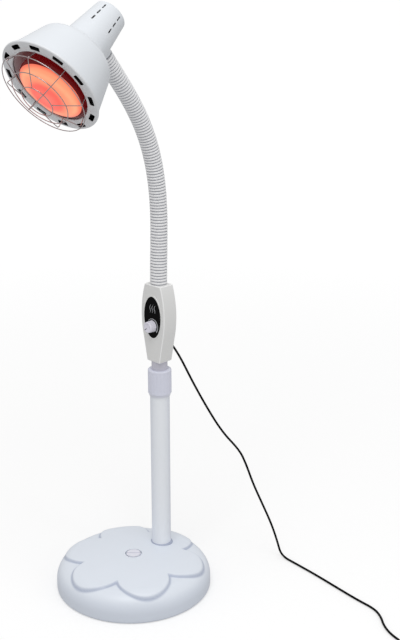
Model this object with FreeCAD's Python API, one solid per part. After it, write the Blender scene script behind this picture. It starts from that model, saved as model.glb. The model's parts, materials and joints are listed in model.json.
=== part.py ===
"""Infrared heat therapy lamp on a telescopic floor stand, in millimetres.

The origin is the centre of the base's underside, +Z is up and the dial faces -Y.
A weighted base carries a lower pole. A twist lock on top of it clamps the sliding upper
pole, which carries the dimmer box. A gooseneck of jointed segments rises from the box
and ends in a swivel under the neck of the lamp shade.
"""
import FreeCAD, Part
import math
import os

Vec = FreeCAD.Vector
X_AXIS = Vec(1, 0, 0)
Y_AXIS = Vec(0, 1, 0)
UP = Vec(0, 0, 1)

# ---------------------------------------------------------------- clearances
SLIDE_CLEARANCE = 0.08       # radial play of a part that slides or turns on another
FILL_CLEARANCE = 0.5         # play round a loose filling
SEAT_CLEARANCE = 0.1         # play of a part that is pushed into its seat
KNUCKLE_CLEARANCE = 0.25     # play of a ball in its cup

# ---------------------------------------------------------------- base
BASE_RADIUS = 156.0
BASE_WALL = 3.0
BASE_HEIGHT = 63.0           # crown of the plain dome, under the flower relief
BASE_DROP = 11.7             # how much lower the dome is at the rim than at its crown
BASE_EDGE_ROUND = 36.0       # where the dome rolls over into the side
BASE_FOOT_ROUND = 5.0
RELIEF_HEIGHT = 4.0
PETALS = 6
PETAL_RADIUS = 51.3
PETAL_CENTRE = 93.7          # distance of each petal's centre from the middle
BALLAST_TOP = 36.0

FILLER_BORE = 10.0
FILLER_BOSS_WALL = 6.0
FILLER_BOSS_DEPTH = 16.0
CAP_RECESS_RADIUS = 17.0
CAP_RECESS_DEPTH = 4.5
CAP_RADIUS = 14.5
CAP_THICKNESS = 4.0
CAP_STEM = 12.0
CAP_SLOT_WIDTH = 2.4
CAP_SLOT_DEPTH = 1.8
SEAL_THICKNESS = 1.5
SEAL_RADIUS = 13.2

# ---------------------------------------------------------------- poles and twist lock
POLE_Y = 78.0                # the pole stands behind the middle of the base
POLE_RADIUS = 19.5
POLE_WALL = 1.5
POLE_TOP = 391.0
SOCKET_WALL = 5.0
FOOT_RING_WALL = 0.8         # low moulded cone round the pole's foot
FOOT_RING_SLOPE = 0.85       # how far it widens for each millimetre down
FOOT_RING_HEIGHT = 7.0
BOLT_RECESS_RADIUS = 11.0
BOLT_RECESS_DEPTH = 8.5
SOCKET_FLOOR = 6.0           # plastic between the bolt recess and the pole's end
FOOT_PLUG_LENGTH = 30.0
BOLT_RADIUS = 4.0
BOLT_HEAD_ACROSS = 13.0
BOLT_HEAD_HEIGHT = 5.3
WASHER_RADIUS = 9.0
WASHER_THICKNESS = 1.6

MAST_RADIUS = 15.8           # sliding upper pole
MAST_WALL = 1.2
FITTING_INSERT = 31.0        # part of the fitting that is pushed into the lower pole
FITTING_LIP = 5.0
FITTING_LIP_RADIUS = 20.9
THREAD_LENGTH = 36.0
COLLET_WALL = 2.7
COLLET_SHOULDER = 4.0
COLLET_NOSE = 8.0
COLLET_NOSE_TAPER = 2.0
COLLET_SLOTS = 4
COLLET_SLOT_WIDTH = 1.6
COLLAR_RADIUS = 23.4
COLLAR_LENGTH = 50.0
COLLAR_FLUTES = 18
COLLAR_FLUTE_RADIUS = 2.4
COLLAR_FLUTE_DEPTH = 0.55
COLLAR_EDGE_ROUND = 2.0
GLIDE_LENGTH = 9.0
GLIDE_FLOOR = 1.0

# ---------------------------------------------------------------- dimmer box
BOX_GAP = 17.75              # bare upper pole between the twist lock and the box
BOX_HEIGHT = 157.0
BOX_DEPTH = 34.0
BOX_WALL = 2.5
BOX_FLOOR = 18.0             # thick foot of the box that grips the upper pole
BOX_CEILING = 4.0
BOX_FOOT_HALF = 17.6         # half width at the bottom
BOX_KNEE_HALF = 27.2         # half width where the straight foot ends
BOX_KNEE_RISE = 48.0         # length of the straight foot
BOX_BELLY_HALF = 32.6        # half width at its widest
BOX_BELLY_RISE = 51.0        # from the knee to the widest place
BOX_HEAD_HALF = 22.0         # half width at the top
BOX_EDGE_ROUND = 2.5
MAST_INTO_BOX = 16.0

DIAL_RISE = 74.5             # from the box's bottom to the dimmer's shaft
PLATE_RISE = 92.0            # from the box's bottom to the middle of the dial plate
PLATE_HALF_WIDTH = 23.4
PLATE_HALF_HEIGHT = 41.8
PLATE_THICKNESS = 1.5
PLATE_SUNK = 1.1
PLATE_RIM_WIDTH = 2.4
PLATE_RIM_HEIGHT = 0.9
KNOB_RADIUS = 11.6
KNOB_TOP_RADIUS = 10.7
KNOB_LENGTH = 14.0
KNOB_GAP = 0.5               # between the knob and the dial plate
SHAFT_RADIUS = 3.0
SHAFT_INTO_KNOB = 10.0
BUSH_RADIUS = 5.0
DIMMER_RADIUS = 11.0
DIMMER_DEPTH = 9.0
DIMMER_NUT_ACROSS = 12.0
DIMMER_NUT_HEIGHT = 2.0
BOARD_WIDTH = 32.0
BOARD_HEIGHT = 58.0
BOARD_THICKNESS = 1.6
BOARD_DROP = 26.0            # from the box's top to the board's upper edge
SCREW_PLACES = ((20.0, 118.0), (14.5, 36.0))    # half spacing and height in the box of each pair
SCREW_RADIUS = 1.5
SCREW_HEAD_RADIUS = 2.8
SCREW_HEAD_HEIGHT = 2.0
SCREW_LENGTH = 16.0
SCREW_BOSS_RADIUS = 3.4

# ---------------------------------------------------------------- gooseneck
NECK_YAW = 5.25              # turn of the neck's plane about the pole, seen from above
NECK_RADIUS = 16.7
NECK_FIRST = 24.0            # from the box's top to the first knuckle
NECK_PITCH = 57.5
NECK_BENDS = (-2.2, 1.3, 5.5, 8.0, 10.0, 9.6, 6.3, 1.5)
NECK_TRAVEL = 10.0           # how far each knuckle bends either way
NECK_LAST = 53.2             # from the last knuckle to the swivel
NECK_BORE = 5.0
BALL_RADIUS = 12.5
CUP_LIP = 1.5
NIPPLE_RADIUS = 6.0
NIPPLE_BORE = 4.0
NUT_RADIUS = 9.0
NUT_HEIGHT = 4.0

# ---------------------------------------------------------------- lamp head
# The head's own frame has its origin in the middle of the rim and +Z towards its back.
HEAD_CANT = 93.5             # from the gooseneck's end to the head's axis
SHADE_WALL = 1.5
RIM_RADIUS = 93.0
RIM_START = 2.6
SHOULDER_RADIUS = 69.7
SHOULDER_BACK = 78.9
SHOULDER_ROUND = 20.4
NECK_FOOT_RADIUS = 41.6
NECK_FOOT_BACK = 97.0
NECK_FOOT_ROUND = 12.0
NECK_END_RADIUS = 30.2
NECK_END_BACK = 184.0
NECK_END_ROUND = 3.0
VENT_LENGTH = 11.5
VENT_WIDTH = 2.6
VENT_BACKS = (139.0, 155.0, 171.0)
VENT_ANGLES = (24.0, 84.0, 144.0, 264.0, 324.0)
SOCKET_BACK = 125.0          # where the gooseneck meets the shade's neck
BOSS_DEPTH = 41.5            # from the head's axis to the boss's face
SWIVEL_WASHER = 1.0
SWIVEL_WASHER_RADIUS = 15.7

RING_INNER = 75.5
RING_OUTER = 94.3
RING_THICKNESS = 1.3
RING_CROWN = 84.0            # radius at which the ring stands proudest
RING_SAG = 1.3
RING_LIP = 3.2
RING_SLOTS = 12
RING_SLOT_FIRST = 15.0
RING_SLOT_RADIUS = 86.0
RING_SLOT_LENGTH = 20.0
RING_SLOT_WIDTH = 8.5

REFLECTOR_WALL = 0.8
REFLECTOR_FLANGE = 81.5      # outer radius of the flange that the guard's hooks hold
REFLECTOR_END_RADIUS = 64.0
REFLECTOR_END_BACK = 62.0

WIRE_RADIUS = 1.0
WIRE_SEAT = 0.02             # gap between welded wires
GUARD_RINGS = (("outer", 82.0, 18.5), ("middle", 55.5, 28.5), ("inner", 31.0, 36.3))
GUARD_CROWN = 37.5
GUARD_SPOKES = 8
GUARD_FIRST_SPOKE = 12.5
GUARD_LONG_EVERY = 2         # every second spoke runs on to the middle
GUARD_HOOK = 4.5

BULB_RADIUS = 63.0
BULB_EDGE_BACK = -3.0
BULB_FACE = 14.0             # the face's middle stands this far before the rim
BULB_EDGE_ROUND = 5.0
BULB_WALL = 1.2
BULB_NECK_RADIUS = 18.5
BULB_NECK_BACK = 112.0
BULB_THROAT_FLARE = 7.0      # how much wider the cone ends than the neck
BULB_THROAT = 15.0           # length over which it draws in to the neck
BULB_GLASS_END = 138.0
CAP_SHELL_RADIUS = 13.2
CAP_SHELL_LENGTH = 20.0
CAP_INSULATOR_LENGTH = 4.0
CAP_CONTACT_LENGTH = 1.5
CAP_CONTACT_RADIUS = 4.5
HOLDER_RADIUS = 21.0
HOLDER_START = 139.5
HOLDER_FLOOR = 6.0
HOLDER_SHELL_WALL = 0.8
HOLDER_TONGUE = 1.2
HOLDER_PLATE = 1.5
HOLDER_SCREW_PLACE = 14.0
STEM_RADIUS = 5.0
STEM_LENGTH = 62.0
FILAMENT_RADIUS = 14.0
FILAMENT_DROP = 20.0         # from the stem's end to the filament
FILAMENT_WIRE = 0.9
SUPPORT_WIRE = 0.7

# ---------------------------------------------------------------- mains cord
CORD_RADIUS = 2.25
CORD_EXIT_RISE = 46.0        # from the box's bottom to the cord's outlet
RELIEF_TILT = 52.0           # how steeply the strain relief points down
RELIEF_LENGTH = 24.0
RELIEF_ROOT_RADIUS = 6.0
RELIEF_TIP_RADIUS = 3.4
RELIEF_FLANGE_RADIUS = 8.0
RELIEF_FLANGE = 2.0
CORD_START_GAP = 0.3         # between the strain relief's end face and the free cord
CORD_ON_FLOOR = 2.3          # height of the cord's middle where it lies
CORD_ROUTE = (
    (0.0, 130.2, 464.3),
    (16.0, 152.0, 405.0),
    (36.0, 172.0, 350.0),
    (62.0, 193.0, 294.0),
    (87.0, 219.0, 253.0),
    (95.0, 230.0, 222.0),
    (105.0, 242.0, 176.0),
    (116.0, 257.0, 132.0),
    (130.0, 274.0, 80.0),
    (138.5, 284.5, 38.0),
    (144.0, 292.0, CORD_ON_FLOOR),
    (190.0, 288.0, CORD_ON_FLOOR),
    (246.0, 283.0, CORD_ON_FLOOR),
    (309.0, 274.5, CORD_ON_FLOOR),
    (366.0, 267.0, CORD_ON_FLOOR),
    (412.0, 264.5, CORD_ON_FLOOR),
    (438.0, 250.0, CORD_ON_FLOOR),
    (459.0, 230.0, CORD_ON_FLOOR),
    (485.0, 216.0, CORD_ON_FLOOR),
    (513.0, 209.0, CORD_ON_FLOOR),
    (546.0, 201.7, CORD_ON_FLOOR),
    (576.5, 192.2, CORD_ON_FLOOR),
)
COIL_CENTRE = Vec(570.0, 168.0, 0.0)
COIL_RADIUS = 25.0           # at the middle of its turns
COIL_WIDTH = 14.0
COIL_HEIGHT = 10.0
COIL_LIFT = 0.05
PLUG_HEIGHT = 13.6
PLUG_WIDTH = 34.0
PLUG_LENGTH = 28.0
PLUG_NECK = 12.0
PLUG_NECK_RADIUS = 4.2
PLUG_ROUND = 4.0
PIN_RADIUS = 2.0
PIN_LENGTH = 19.0
PIN_HALF_SPACING = 9.3
TAIL_ROUTE = (
    (595.0, 168.0, CORD_ON_FLOOR),
    (597.0, 140.0, 3.2),
    (592.0, 112.0, PLUG_HEIGHT / 2),
    (584.0, 90.0, PLUG_HEIGHT / 2),
)


# ---------------------------------------------------------------- helpers
def cyl(radius, bottom, top, x=0.0, y=0.0):
    """Upright cylinder between two heights."""
    return Part.makeCylinder(radius, top - bottom, Vec(x, y, bottom))


def tube(outer, inner, bottom, top, x=0.0, y=0.0):
    """Upright tube between two heights."""
    return cyl(outer, bottom, top, x, y).cut(cyl(inner, bottom, top, x, y))


def rod(start, end, radius):
    """Round bar between two points."""
    along = end - start
    return Part.makeCylinder(radius, along.Length, start, along)


def block(low, high):
    """Box between two corners."""
    size = high - low
    return Part.makeBox(size.x, size.y, size.z, low)


def at_pole(shape):
    """Moves a piece made about the Z axis onto the pole's axis."""
    shape.translate(Vec(0, POLE_Y, 0))
    return shape


def fused(pieces):
    """One solid of touching or overlapping pieces."""
    whole = pieces[0]
    for piece in pieces[1:]:
        whole = whole.fuse(piece)
    return whole.removeSplitter()


def rounded_wire(corners, rounds):
    """Closed wire through the corners, each rounded by its own radius (0 stays sharp)."""
    ways = []
    for index, corner in enumerate(corners):
        radius = rounds[index]
        if radius == 0:
            ways.append((corner, corner, corner))
            continue
        back = (corners[index - 1] - corner).normalize()
        ahead = (corners[(index + 1) % len(corners)] - corner).normalize()
        half = back.getAngle(ahead) / 2
        inward = (back + ahead).normalize()
        centre = corner + inward * (radius / math.sin(half))
        reach = radius / math.tan(half)
        ways.append((corner + back * reach, centre - inward * radius, corner + ahead * reach))
    edges = []
    for index, (start, middle, end) in enumerate(ways):
        before = ways[index - 1][2]
        if before.distanceToPoint(start) > 1e-6:
            edges.append(Part.LineSegment(before, start).toShape())
        if start.distanceToPoint(end) > 1e-6:
            edges.append(Part.Arc(start, middle, end).toShape())
    return Part.Wire(edges)


def turned(corners, rounds=None):
    """Solid turned about Z from (radius, height) corners."""
    points = [Vec(radius, 0, height) for radius, height in corners]
    wire = rounded_wire(points, rounds or [0] * len(points))
    return Part.Face(wire).revolve(Vec(0, 0, 0), UP, 360)


def offset_path(corners, distance):
    """Open (radius, height) path moved sideways towards the axis by a distance."""
    normals = []
    for (r0, z0), (r1, z1) in zip(corners, corners[1:]):
        length = math.hypot(r1 - r0, z1 - z0)
        normals.append((-(z1 - z0) / length, (r1 - r0) / length))
    moved = [(corners[0][0] + normals[0][0] * distance, corners[0][1] + normals[0][1] * distance)]
    for (radius, height), (ar, az), (br, bz) in zip(corners[1:], normals, normals[1:]):
        scale = distance / (1 + ar * br + az * bz)
        moved.append((radius + (ar + br) * scale, height + (az + bz) * scale))
    last_r, last_z = corners[-1]
    moved.append((last_r + normals[-1][0] * distance, last_z + normals[-1][1] * distance))
    return moved


def hexagon(across, bottom, top):
    """Upright hexagonal prism."""
    radius = across / math.sqrt(3)
    corners = [Vec(radius * math.cos(math.radians(60 * step)),
                   radius * math.sin(math.radians(60 * step)), bottom) for step in range(7)]
    return Part.Face(Part.makePolygon(corners)).extrude(Vec(0, 0, top - bottom))


def ring_wire(radius, height, wire_radius):
    """Round wire bent into a ring about Z."""
    return Part.makeTorus(radius, wire_radius, Vec(0, 0, height))


def bent_wire(points, radius):
    """Round wire along straight legs, with ball corners."""
    pieces = [rod(start, end, radius) for start, end in zip(points, points[1:])]
    pieces += [Part.makeSphere(radius, corner) for corner in points[1:-1]]
    return fused(pieces)


# ---------------------------------------------------------------- base
def base_body(inset, raised=0.0):
    """Solid of the base's outside, or of its inside when inset by the wall."""
    crown = BASE_HEIGHT + raised - inset
    radius = BASE_RADIUS - inset
    curve = (BASE_RADIUS ** 2 + BASE_DROP ** 2) / (2 * BASE_DROP)
    body = cyl(radius, inset, crown).common(Part.makeSphere(curve, Vec(0, 0, crown - curve)))
    circles = [edge for edge in body.Edges if edge.BoundBox.XLength > radius]
    rim = [edge for edge in circles if edge.BoundBox.ZMin > crown - BASE_DROP * 2]
    body = body.makeFillet(BASE_EDGE_ROUND - inset, rim)
    foot = [edge for edge in body.Edges
            if edge.BoundBox.XLength > radius and edge.BoundBox.ZMax < inset + 1]
    return body.makeFillet(max(BASE_FOOT_ROUND - inset, 1.0), foot)


def flower():
    """Upright prism of the petals' outline."""
    pieces = [cyl(PETAL_CENTRE, BASE_WALL * 2, BASE_HEIGHT * 2)]
    for step in range(PETALS):
        angle = math.radians(360 / PETALS * (step + 0.5))
        x = PETAL_CENTRE * math.cos(angle)
        y = PETAL_CENTRE * math.sin(angle)
        pieces.append(cyl(PETAL_RADIUS, BASE_WALL * 2, BASE_HEIGHT * 2, x, y))
    return fused(pieces)


def socket_bottom():
    """Height of the lower pole's end in its socket."""
    return BOLT_RECESS_DEPTH + SOCKET_FLOOR


def foot_plug_top():
    """Height of the foot plug's top, on which the pushed-in upper pole stands."""
    return socket_bottom() + FOOT_PLUG_LENGTH


def posts():
    """Pole socket and filler boss, solid, that stand inside the hollow base."""
    socket = cyl(POLE_RADIUS + SOCKET_WALL, 0, BASE_HEIGHT * 2, 0, POLE_Y)
    crown = BASE_HEIGHT + RELIEF_HEIGHT
    boss = cyl(FILLER_BORE + FILLER_BOSS_WALL, crown - CAP_RECESS_DEPTH - FILLER_BOSS_DEPTH, crown)
    collar = cyl(CAP_RECESS_RADIUS + BASE_WALL, crown - CAP_RECESS_DEPTH - BASE_WALL, crown)
    return [socket, boss, collar]


def base_shell():
    """Blow-moulded base with the flower relief, filler neck and pole socket."""
    crown = BASE_HEIGHT + RELIEF_HEIGHT
    relief = base_body(0.0, RELIEF_HEIGHT).common(flower())
    foot_top = POLE_RADIUS + FOOT_RING_WALL
    foot_ring = Part.makeCone(foot_top + FOOT_RING_HEIGHT * FOOT_RING_SLOPE, foot_top, FOOT_RING_HEIGHT,
                              Vec(0, POLE_Y, crown - FOOT_RING_HEIGHT))
    outside = fused([base_body(0.0), relief, foot_ring])
    cavity = base_body(BASE_WALL)
    for post in posts():
        cavity = cavity.cut(post)
    shell = outside.cut(cavity)
    shell = shell.cut(cyl(POLE_RADIUS + SLIDE_CLEARANCE, socket_bottom(), crown * 2, 0, POLE_Y))
    shell = shell.cut(cyl(BOLT_RADIUS + SEAT_CLEARANCE, 0, crown, 0, POLE_Y))
    shell = shell.cut(cyl(BOLT_RECESS_RADIUS, 0, BOLT_RECESS_DEPTH, 0, POLE_Y))
    shell = shell.cut(cyl(CAP_RECESS_RADIUS, crown - CAP_RECESS_DEPTH, crown * 2))
    return shell.cut(cyl(FILLER_BORE, 0, crown)
                     .common(cyl(FILLER_BORE, BASE_WALL, crown)))


def base_ballast():
    """Sand that fills the lower part of the hollow base."""
    filling = base_body(BASE_WALL + FILL_CLEARANCE)
    filling.translate(Vec(0, 0, -FILL_CLEARANCE))
    filling = filling.common(cyl(BASE_RADIUS, BASE_WALL, BALLAST_TOP))
    socket = cyl(POLE_RADIUS + SOCKET_WALL + FILL_CLEARANCE, 0, BALLAST_TOP, 0, POLE_Y)
    return filling.cut(socket)


def cap_seat():
    """Height of the recess in which the filler cap lies."""
    return BASE_HEIGHT + RELIEF_HEIGHT - CAP_RECESS_DEPTH


def filler_cap():
    """Screw cap with a coin slot."""
    bottom = cap_seat() + SEAL_THICKNESS
    top = bottom + CAP_THICKNESS
    cap = turned([(0, bottom), (CAP_RADIUS, bottom), (CAP_RADIUS, top), (0, top)], [0, 0, 1.2, 0])
    stem = cyl(FILLER_BORE - KNUCKLE_CLEARANCE, cap_seat() - CAP_STEM, bottom)
    slot = block(Vec(-CAP_RADIUS, -CAP_SLOT_WIDTH / 2, top - CAP_SLOT_DEPTH),
                 Vec(CAP_RADIUS, CAP_SLOT_WIDTH / 2, top * 2))
    slot.rotate(Vec(0, 0, 0), UP, 45)
    return cap.fuse(stem).cut(slot).removeSplitter()


def filler_seal():
    """Flat rubber ring under the cap."""
    return tube(SEAL_RADIUS, FILLER_BORE, cap_seat(), cap_seat() + SEAL_THICKNESS)


# ---------------------------------------------------------------- poles and twist lock
def lower_pole():
    """Fixed outer tube."""
    return at_pole(tube(POLE_RADIUS, POLE_RADIUS - POLE_WALL, socket_bottom(), POLE_TOP))


def pole_foot_plug():
    """Threaded plug in the pole's lower end."""
    outer = POLE_RADIUS - POLE_WALL - SEAT_CLEARANCE
    return at_pole(tube(outer, BOLT_RADIUS + SEAT_CLEARANCE, socket_bottom(), foot_plug_top()))


def base_bolt():
    """Bolt that holds the pole down from under the base."""
    seat = BOLT_RECESS_DEPTH - WASHER_THICKNESS
    head = hexagon(BOLT_HEAD_ACROSS, seat - BOLT_HEAD_HEIGHT, seat)
    shank = cyl(BOLT_RADIUS, seat, foot_plug_top() - BOLT_RADIUS)
    return at_pole(head.fuse(shank))


def base_washer():
    """Washer under the bolt's head."""
    seat = BOLT_RECESS_DEPTH
    return at_pole(tube(WASHER_RADIUS, BOLT_RADIUS + SEAT_CLEARANCE, seat - WASHER_THICKNESS, seat))


def thread_bottom():
    """Height at which the fitting's thread starts."""
    return POLE_TOP + FITTING_LIP


def collet_radius():
    """Outer radius of the split sleeve."""
    return MAST_RADIUS + SLIDE_CLEARANCE + COLLET_WALL


def pole_fitting():
    """Plastic fitting on the lower pole: insert, lip and threaded spout."""
    bore = collet_radius() + SLIDE_CLEARANCE
    thread_top = thread_bottom() + THREAD_LENGTH
    insert_radius = POLE_RADIUS - POLE_WALL - SEAT_CLEARANCE
    insert = tube(insert_radius, MAST_RADIUS + KNUCKLE_CLEARANCE, POLE_TOP - FITTING_INSERT, POLE_TOP)
    lip = tube(FITTING_LIP_RADIUS, MAST_RADIUS + KNUCKLE_CLEARANCE, POLE_TOP, thread_bottom())
    spout = tube(bore + 1.6, bore, thread_bottom(), thread_top)
    return at_pole(fused([insert, lip, spout]))


def shoulder_radius():
    """Radius of the collet's shoulder, which sits on the spout."""
    return collet_radius() + SLIDE_CLEARANCE + 1.4


def collet():
    """Split sleeve that grips the upper pole and turns with it."""
    bottom = thread_bottom() + KNUCKLE_CLEARANCE
    seat = thread_bottom() + THREAD_LENGTH
    wide = shoulder_radius()
    nose = seat + COLLET_SHOULDER
    sleeve = turned([(MAST_RADIUS + SLIDE_CLEARANCE, bottom), (collet_radius(), bottom),
                     (collet_radius(), seat), (wide, seat), (wide, nose),
                     (wide - COLLET_NOSE_TAPER, nose + COLLET_NOSE),
                     (MAST_RADIUS + SLIDE_CLEARANCE, nose + COLLET_NOSE)])
    for step in range(COLLET_SLOTS):
        slot = block(Vec(0, -COLLET_SLOT_WIDTH / 2, seat - THREAD_LENGTH / 2),
                     Vec(wide * 2, COLLET_SLOT_WIDTH / 2, nose + COLLET_NOSE * 2))
        slot.rotate(Vec(0, 0, 0), UP, 360 / COLLET_SLOTS * step)
        sleeve = sleeve.cut(slot)
    return at_pole(sleeve)


def lock_collar():
    """Fluted nut that squeezes the collet."""
    play = KNUCKLE_CLEARANCE
    bottom = thread_bottom() + play
    top = bottom + COLLAR_LENGTH
    wide = shoulder_radius() + play
    nose = thread_bottom() + THREAD_LENGTH + COLLET_SHOULDER
    mouth = wide - COLLET_NOSE_TAPER
    outside = turned([(0, bottom), (COLLAR_RADIUS, bottom), (COLLAR_RADIUS, top), (0, top)],
                     [0, COLLAR_EDGE_ROUND / 2, COLLAR_EDGE_ROUND, 0])
    inside = turned([(0, bottom - 1), (wide, bottom - 1), (wide, nose), (mouth, nose + COLLET_NOSE),
                     (MAST_RADIUS + play, nose + COLLET_NOSE + play),
                     (MAST_RADIUS + play, top + 1), (0, top + 1)])
    nut = outside.cut(inside)
    for step in range(COLLAR_FLUTES):
        angle = math.radians(360 / COLLAR_FLUTES * step)
        reach = COLLAR_RADIUS + COLLAR_FLUTE_RADIUS - COLLAR_FLUTE_DEPTH
        nut = nut.cut(cyl(COLLAR_FLUTE_RADIUS, bottom + COLLAR_FLUTE_RADIUS * 2,
                          top - COLLAR_FLUTE_RADIUS * 2,
                          reach * math.cos(angle), reach * math.sin(angle)))
    return at_pole(nut)


def upper_pole():
    """Sliding inner tube."""
    bottom = foot_plug_top() + GLIDE_FLOOR
    return at_pole(tube(MAST_RADIUS, MAST_RADIUS - MAST_WALL, bottom, box_bottom() + MAST_INTO_BOX))


def pole_glide():
    """Plastic ring that centres the upper pole's foot in the lower pole."""
    outer = POLE_RADIUS - POLE_WALL - SLIDE_CLEARANCE
    bottom = foot_plug_top()
    ring = tube(outer, MAST_RADIUS, bottom, bottom + GLIDE_LENGTH)
    flange = tube(outer, MAST_RADIUS - MAST_WALL, bottom, bottom + GLIDE_FLOOR)
    return at_pole(ring.fuse(flange).removeSplitter())


# ---------------------------------------------------------------- dimmer box
def box_bottom():
    """Height of the box's lower face."""
    return thread_bottom() + KNUCKLE_CLEARANCE + COLLAR_LENGTH + BOX_GAP


def box_top():
    """Height of the box's upper face."""
    return box_bottom() + BOX_HEIGHT


def knee_height():
    """Height at which the box's straight foot ends."""
    return box_bottom() + BOX_KNEE_RISE


def dial_height():
    """Height of the dimmer's shaft."""
    return box_bottom() + DIAL_RISE


def cord_exit_height():
    """Height at which the cord leaves the box."""
    return box_bottom() + CORD_EXIT_RISE


def box_front():
    """Y of the box's front face."""
    return POLE_Y - BOX_DEPTH / 2


def box_back():
    """Y of the box's back face."""
    return POLE_Y + BOX_DEPTH / 2


def box_face(inset=0.0):
    """Barrel outline of the box, drawn on the plane of the pole."""
    def point(x, height):
        return Vec(x, POLE_Y, height)
    side = ((BOX_FOOT_HALF, box_bottom()), (BOX_KNEE_HALF, knee_height()),
            (BOX_BELLY_HALF, knee_height() + BOX_BELLY_RISE), (BOX_HEAD_HALF, box_top()))
    right = [point(x, height) for x, height in side]
    left = [point(-x, height) for x, height in side]
    edges = [Part.LineSegment(left[0], right[0]).toShape(),
             Part.LineSegment(right[0], right[1]).toShape(),
             Part.Arc(right[1], right[2], right[3]).toShape(),
             Part.LineSegment(right[3], left[3]).toShape(),
             Part.Arc(left[3], left[2], left[1]).toShape(),
             Part.LineSegment(left[1], left[0]).toShape()]
    wire = Part.Wire(edges)
    if inset:
        wire = wire.makeOffset2D(-inset, 2)
    return Part.Face(wire)


def box_block(inset, front, back):
    """Barrel-shaped block between two planes across Y."""
    face = box_face(inset)
    face.translate(Vec(0, front - POLE_Y, 0))
    return face.extrude(Vec(0, back - front, 0))


def ellipse_block(half_width, half_height, front, back):
    """Elliptical block that lies across Y, centred on the dial plate."""
    centre = Vec(0, front, box_bottom() + PLATE_RISE)
    curve = Part.Ellipse(centre + Vec(0, 0, half_height), centre + Vec(half_width, 0, 0), centre)
    return Part.Face(Part.Wire(curve.toShape())).extrude(Vec(0, back - front, 0))


def screw_places():
    """Middle of each box screw."""
    return [Vec(side * half, POLE_Y, box_bottom() + rise)
            for half, rise in SCREW_PLACES for side in (-1, 1)]


def across(place, radius, front, back):
    """Round bar along Y through a place."""
    return rod(Vec(place.x, front, place.z), Vec(place.x, back, place.z), radius)


def box_outside():
    """Whole outside of the box, with its long edges rounded."""
    body = box_block(0.0, box_front(), box_back())
    rims = [edge for edge in body.Edges if edge.BoundBox.YLength < 1e-3]
    corners = [edge for edge in body.Edges if edge.BoundBox.YLength > 1
               and abs(edge.BoundBox.ZMin - knee_height()) > 1]
    return body.makeFillet(BOX_EDGE_ROUND, rims + corners)


def box_shells():
    """Front and back half of the box."""
    outside = box_outside()
    rim = ellipse_block(PLATE_HALF_WIDTH + PLATE_RIM_WIDTH, PLATE_HALF_HEIGHT + PLATE_RIM_WIDTH,
                        box_front() - PLATE_RIM_HEIGHT, box_front() + BOX_WALL)
    room = box_block(BOX_WALL, box_front() + BOX_WALL, box_back() - BOX_WALL)
    room = room.common(block(Vec(-BASE_RADIUS, 0, box_bottom() + BOX_FLOOR),
                             Vec(BASE_RADIUS, BASE_RADIUS, box_top() - BOX_CEILING)))
    pads = [across(place, SCREW_BOSS_RADIUS, box_front() + BOX_WALL, box_back() - BOX_WALL)
            for place in screw_places()]
    for pad in pads:
        room = room.cut(pad)
    whole = outside.fuse(rim).cut(room)
    seat = ellipse_block(PLATE_HALF_WIDTH + SEAT_CLEARANCE, PLATE_HALF_HEIGHT + SEAT_CLEARANCE,
                         box_front() - PLATE_RIM_HEIGHT, box_front() + PLATE_SUNK)
    whole = whole.cut(seat)
    dial = Vec(0, 0, dial_height())
    whole = whole.cut(across(dial, BUSH_RADIUS + SEAT_CLEARANCE, 0, box_front() + BOX_WALL * 2))
    whole = whole.cut(at_pole(cyl(MAST_RADIUS + SEAT_CLEARANCE / 2, 0, box_bottom() + MAST_INTO_BOX)))
    whole = whole.cut(at_pole(cyl(MAST_RADIUS - MAST_WALL, 0, box_bottom() + BOX_FLOOR)))
    whole = whole.cut(at_pole(cyl(NIPPLE_RADIUS + SEAT_CLEARANCE, box_top() - BOX_CEILING, box_top())))
    whole = whole.cut(rod(Vec(0, box_back() - BOX_WALL * 2, cord_exit_height()),
                          Vec(0, box_back() + 1, cord_exit_height()), RELIEF_ROOT_RADIUS))
    for place in screw_places():
        seat_y = box_back() - SCREW_HEAD_HEIGHT
        whole = whole.cut(across(place, SCREW_HEAD_RADIUS + SEAT_CLEARANCE, seat_y, box_back() + 1))
        whole = whole.cut(across(place, SCREW_RADIUS + SEAT_CLEARANCE, seat_y - SCREW_LENGTH, seat_y))
    front = block(Vec(-BASE_RADIUS, -BASE_RADIUS, 0), Vec(BASE_RADIUS, POLE_Y, box_top() * 2))
    return whole.common(front), whole.cut(front)


def box_screws():
    """Four countersunk-head screws from the back."""
    seat_y = box_back() - SCREW_HEAD_HEIGHT
    screws = []
    for place in screw_places():
        head = across(place, SCREW_HEAD_RADIUS, seat_y, seat_y + SCREW_HEAD_HEIGHT * 0.8)
        screws.append(head.fuse(across(place, SCREW_RADIUS, seat_y - SCREW_LENGTH, seat_y)))
    return Part.makeCompound(screws)


def plate_front():
    """Y of the dial plate's face."""
    return box_front() + PLATE_SUNK - PLATE_THICKNESS


def dial_plate():
    """Oval plate behind the knob."""
    plate = ellipse_block(PLATE_HALF_WIDTH, PLATE_HALF_HEIGHT, plate_front(), box_front() + PLATE_SUNK)
    return plate.cut(across(Vec(0, 0, dial_height()), BUSH_RADIUS + SEAT_CLEARANCE, 0, POLE_Y))


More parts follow.
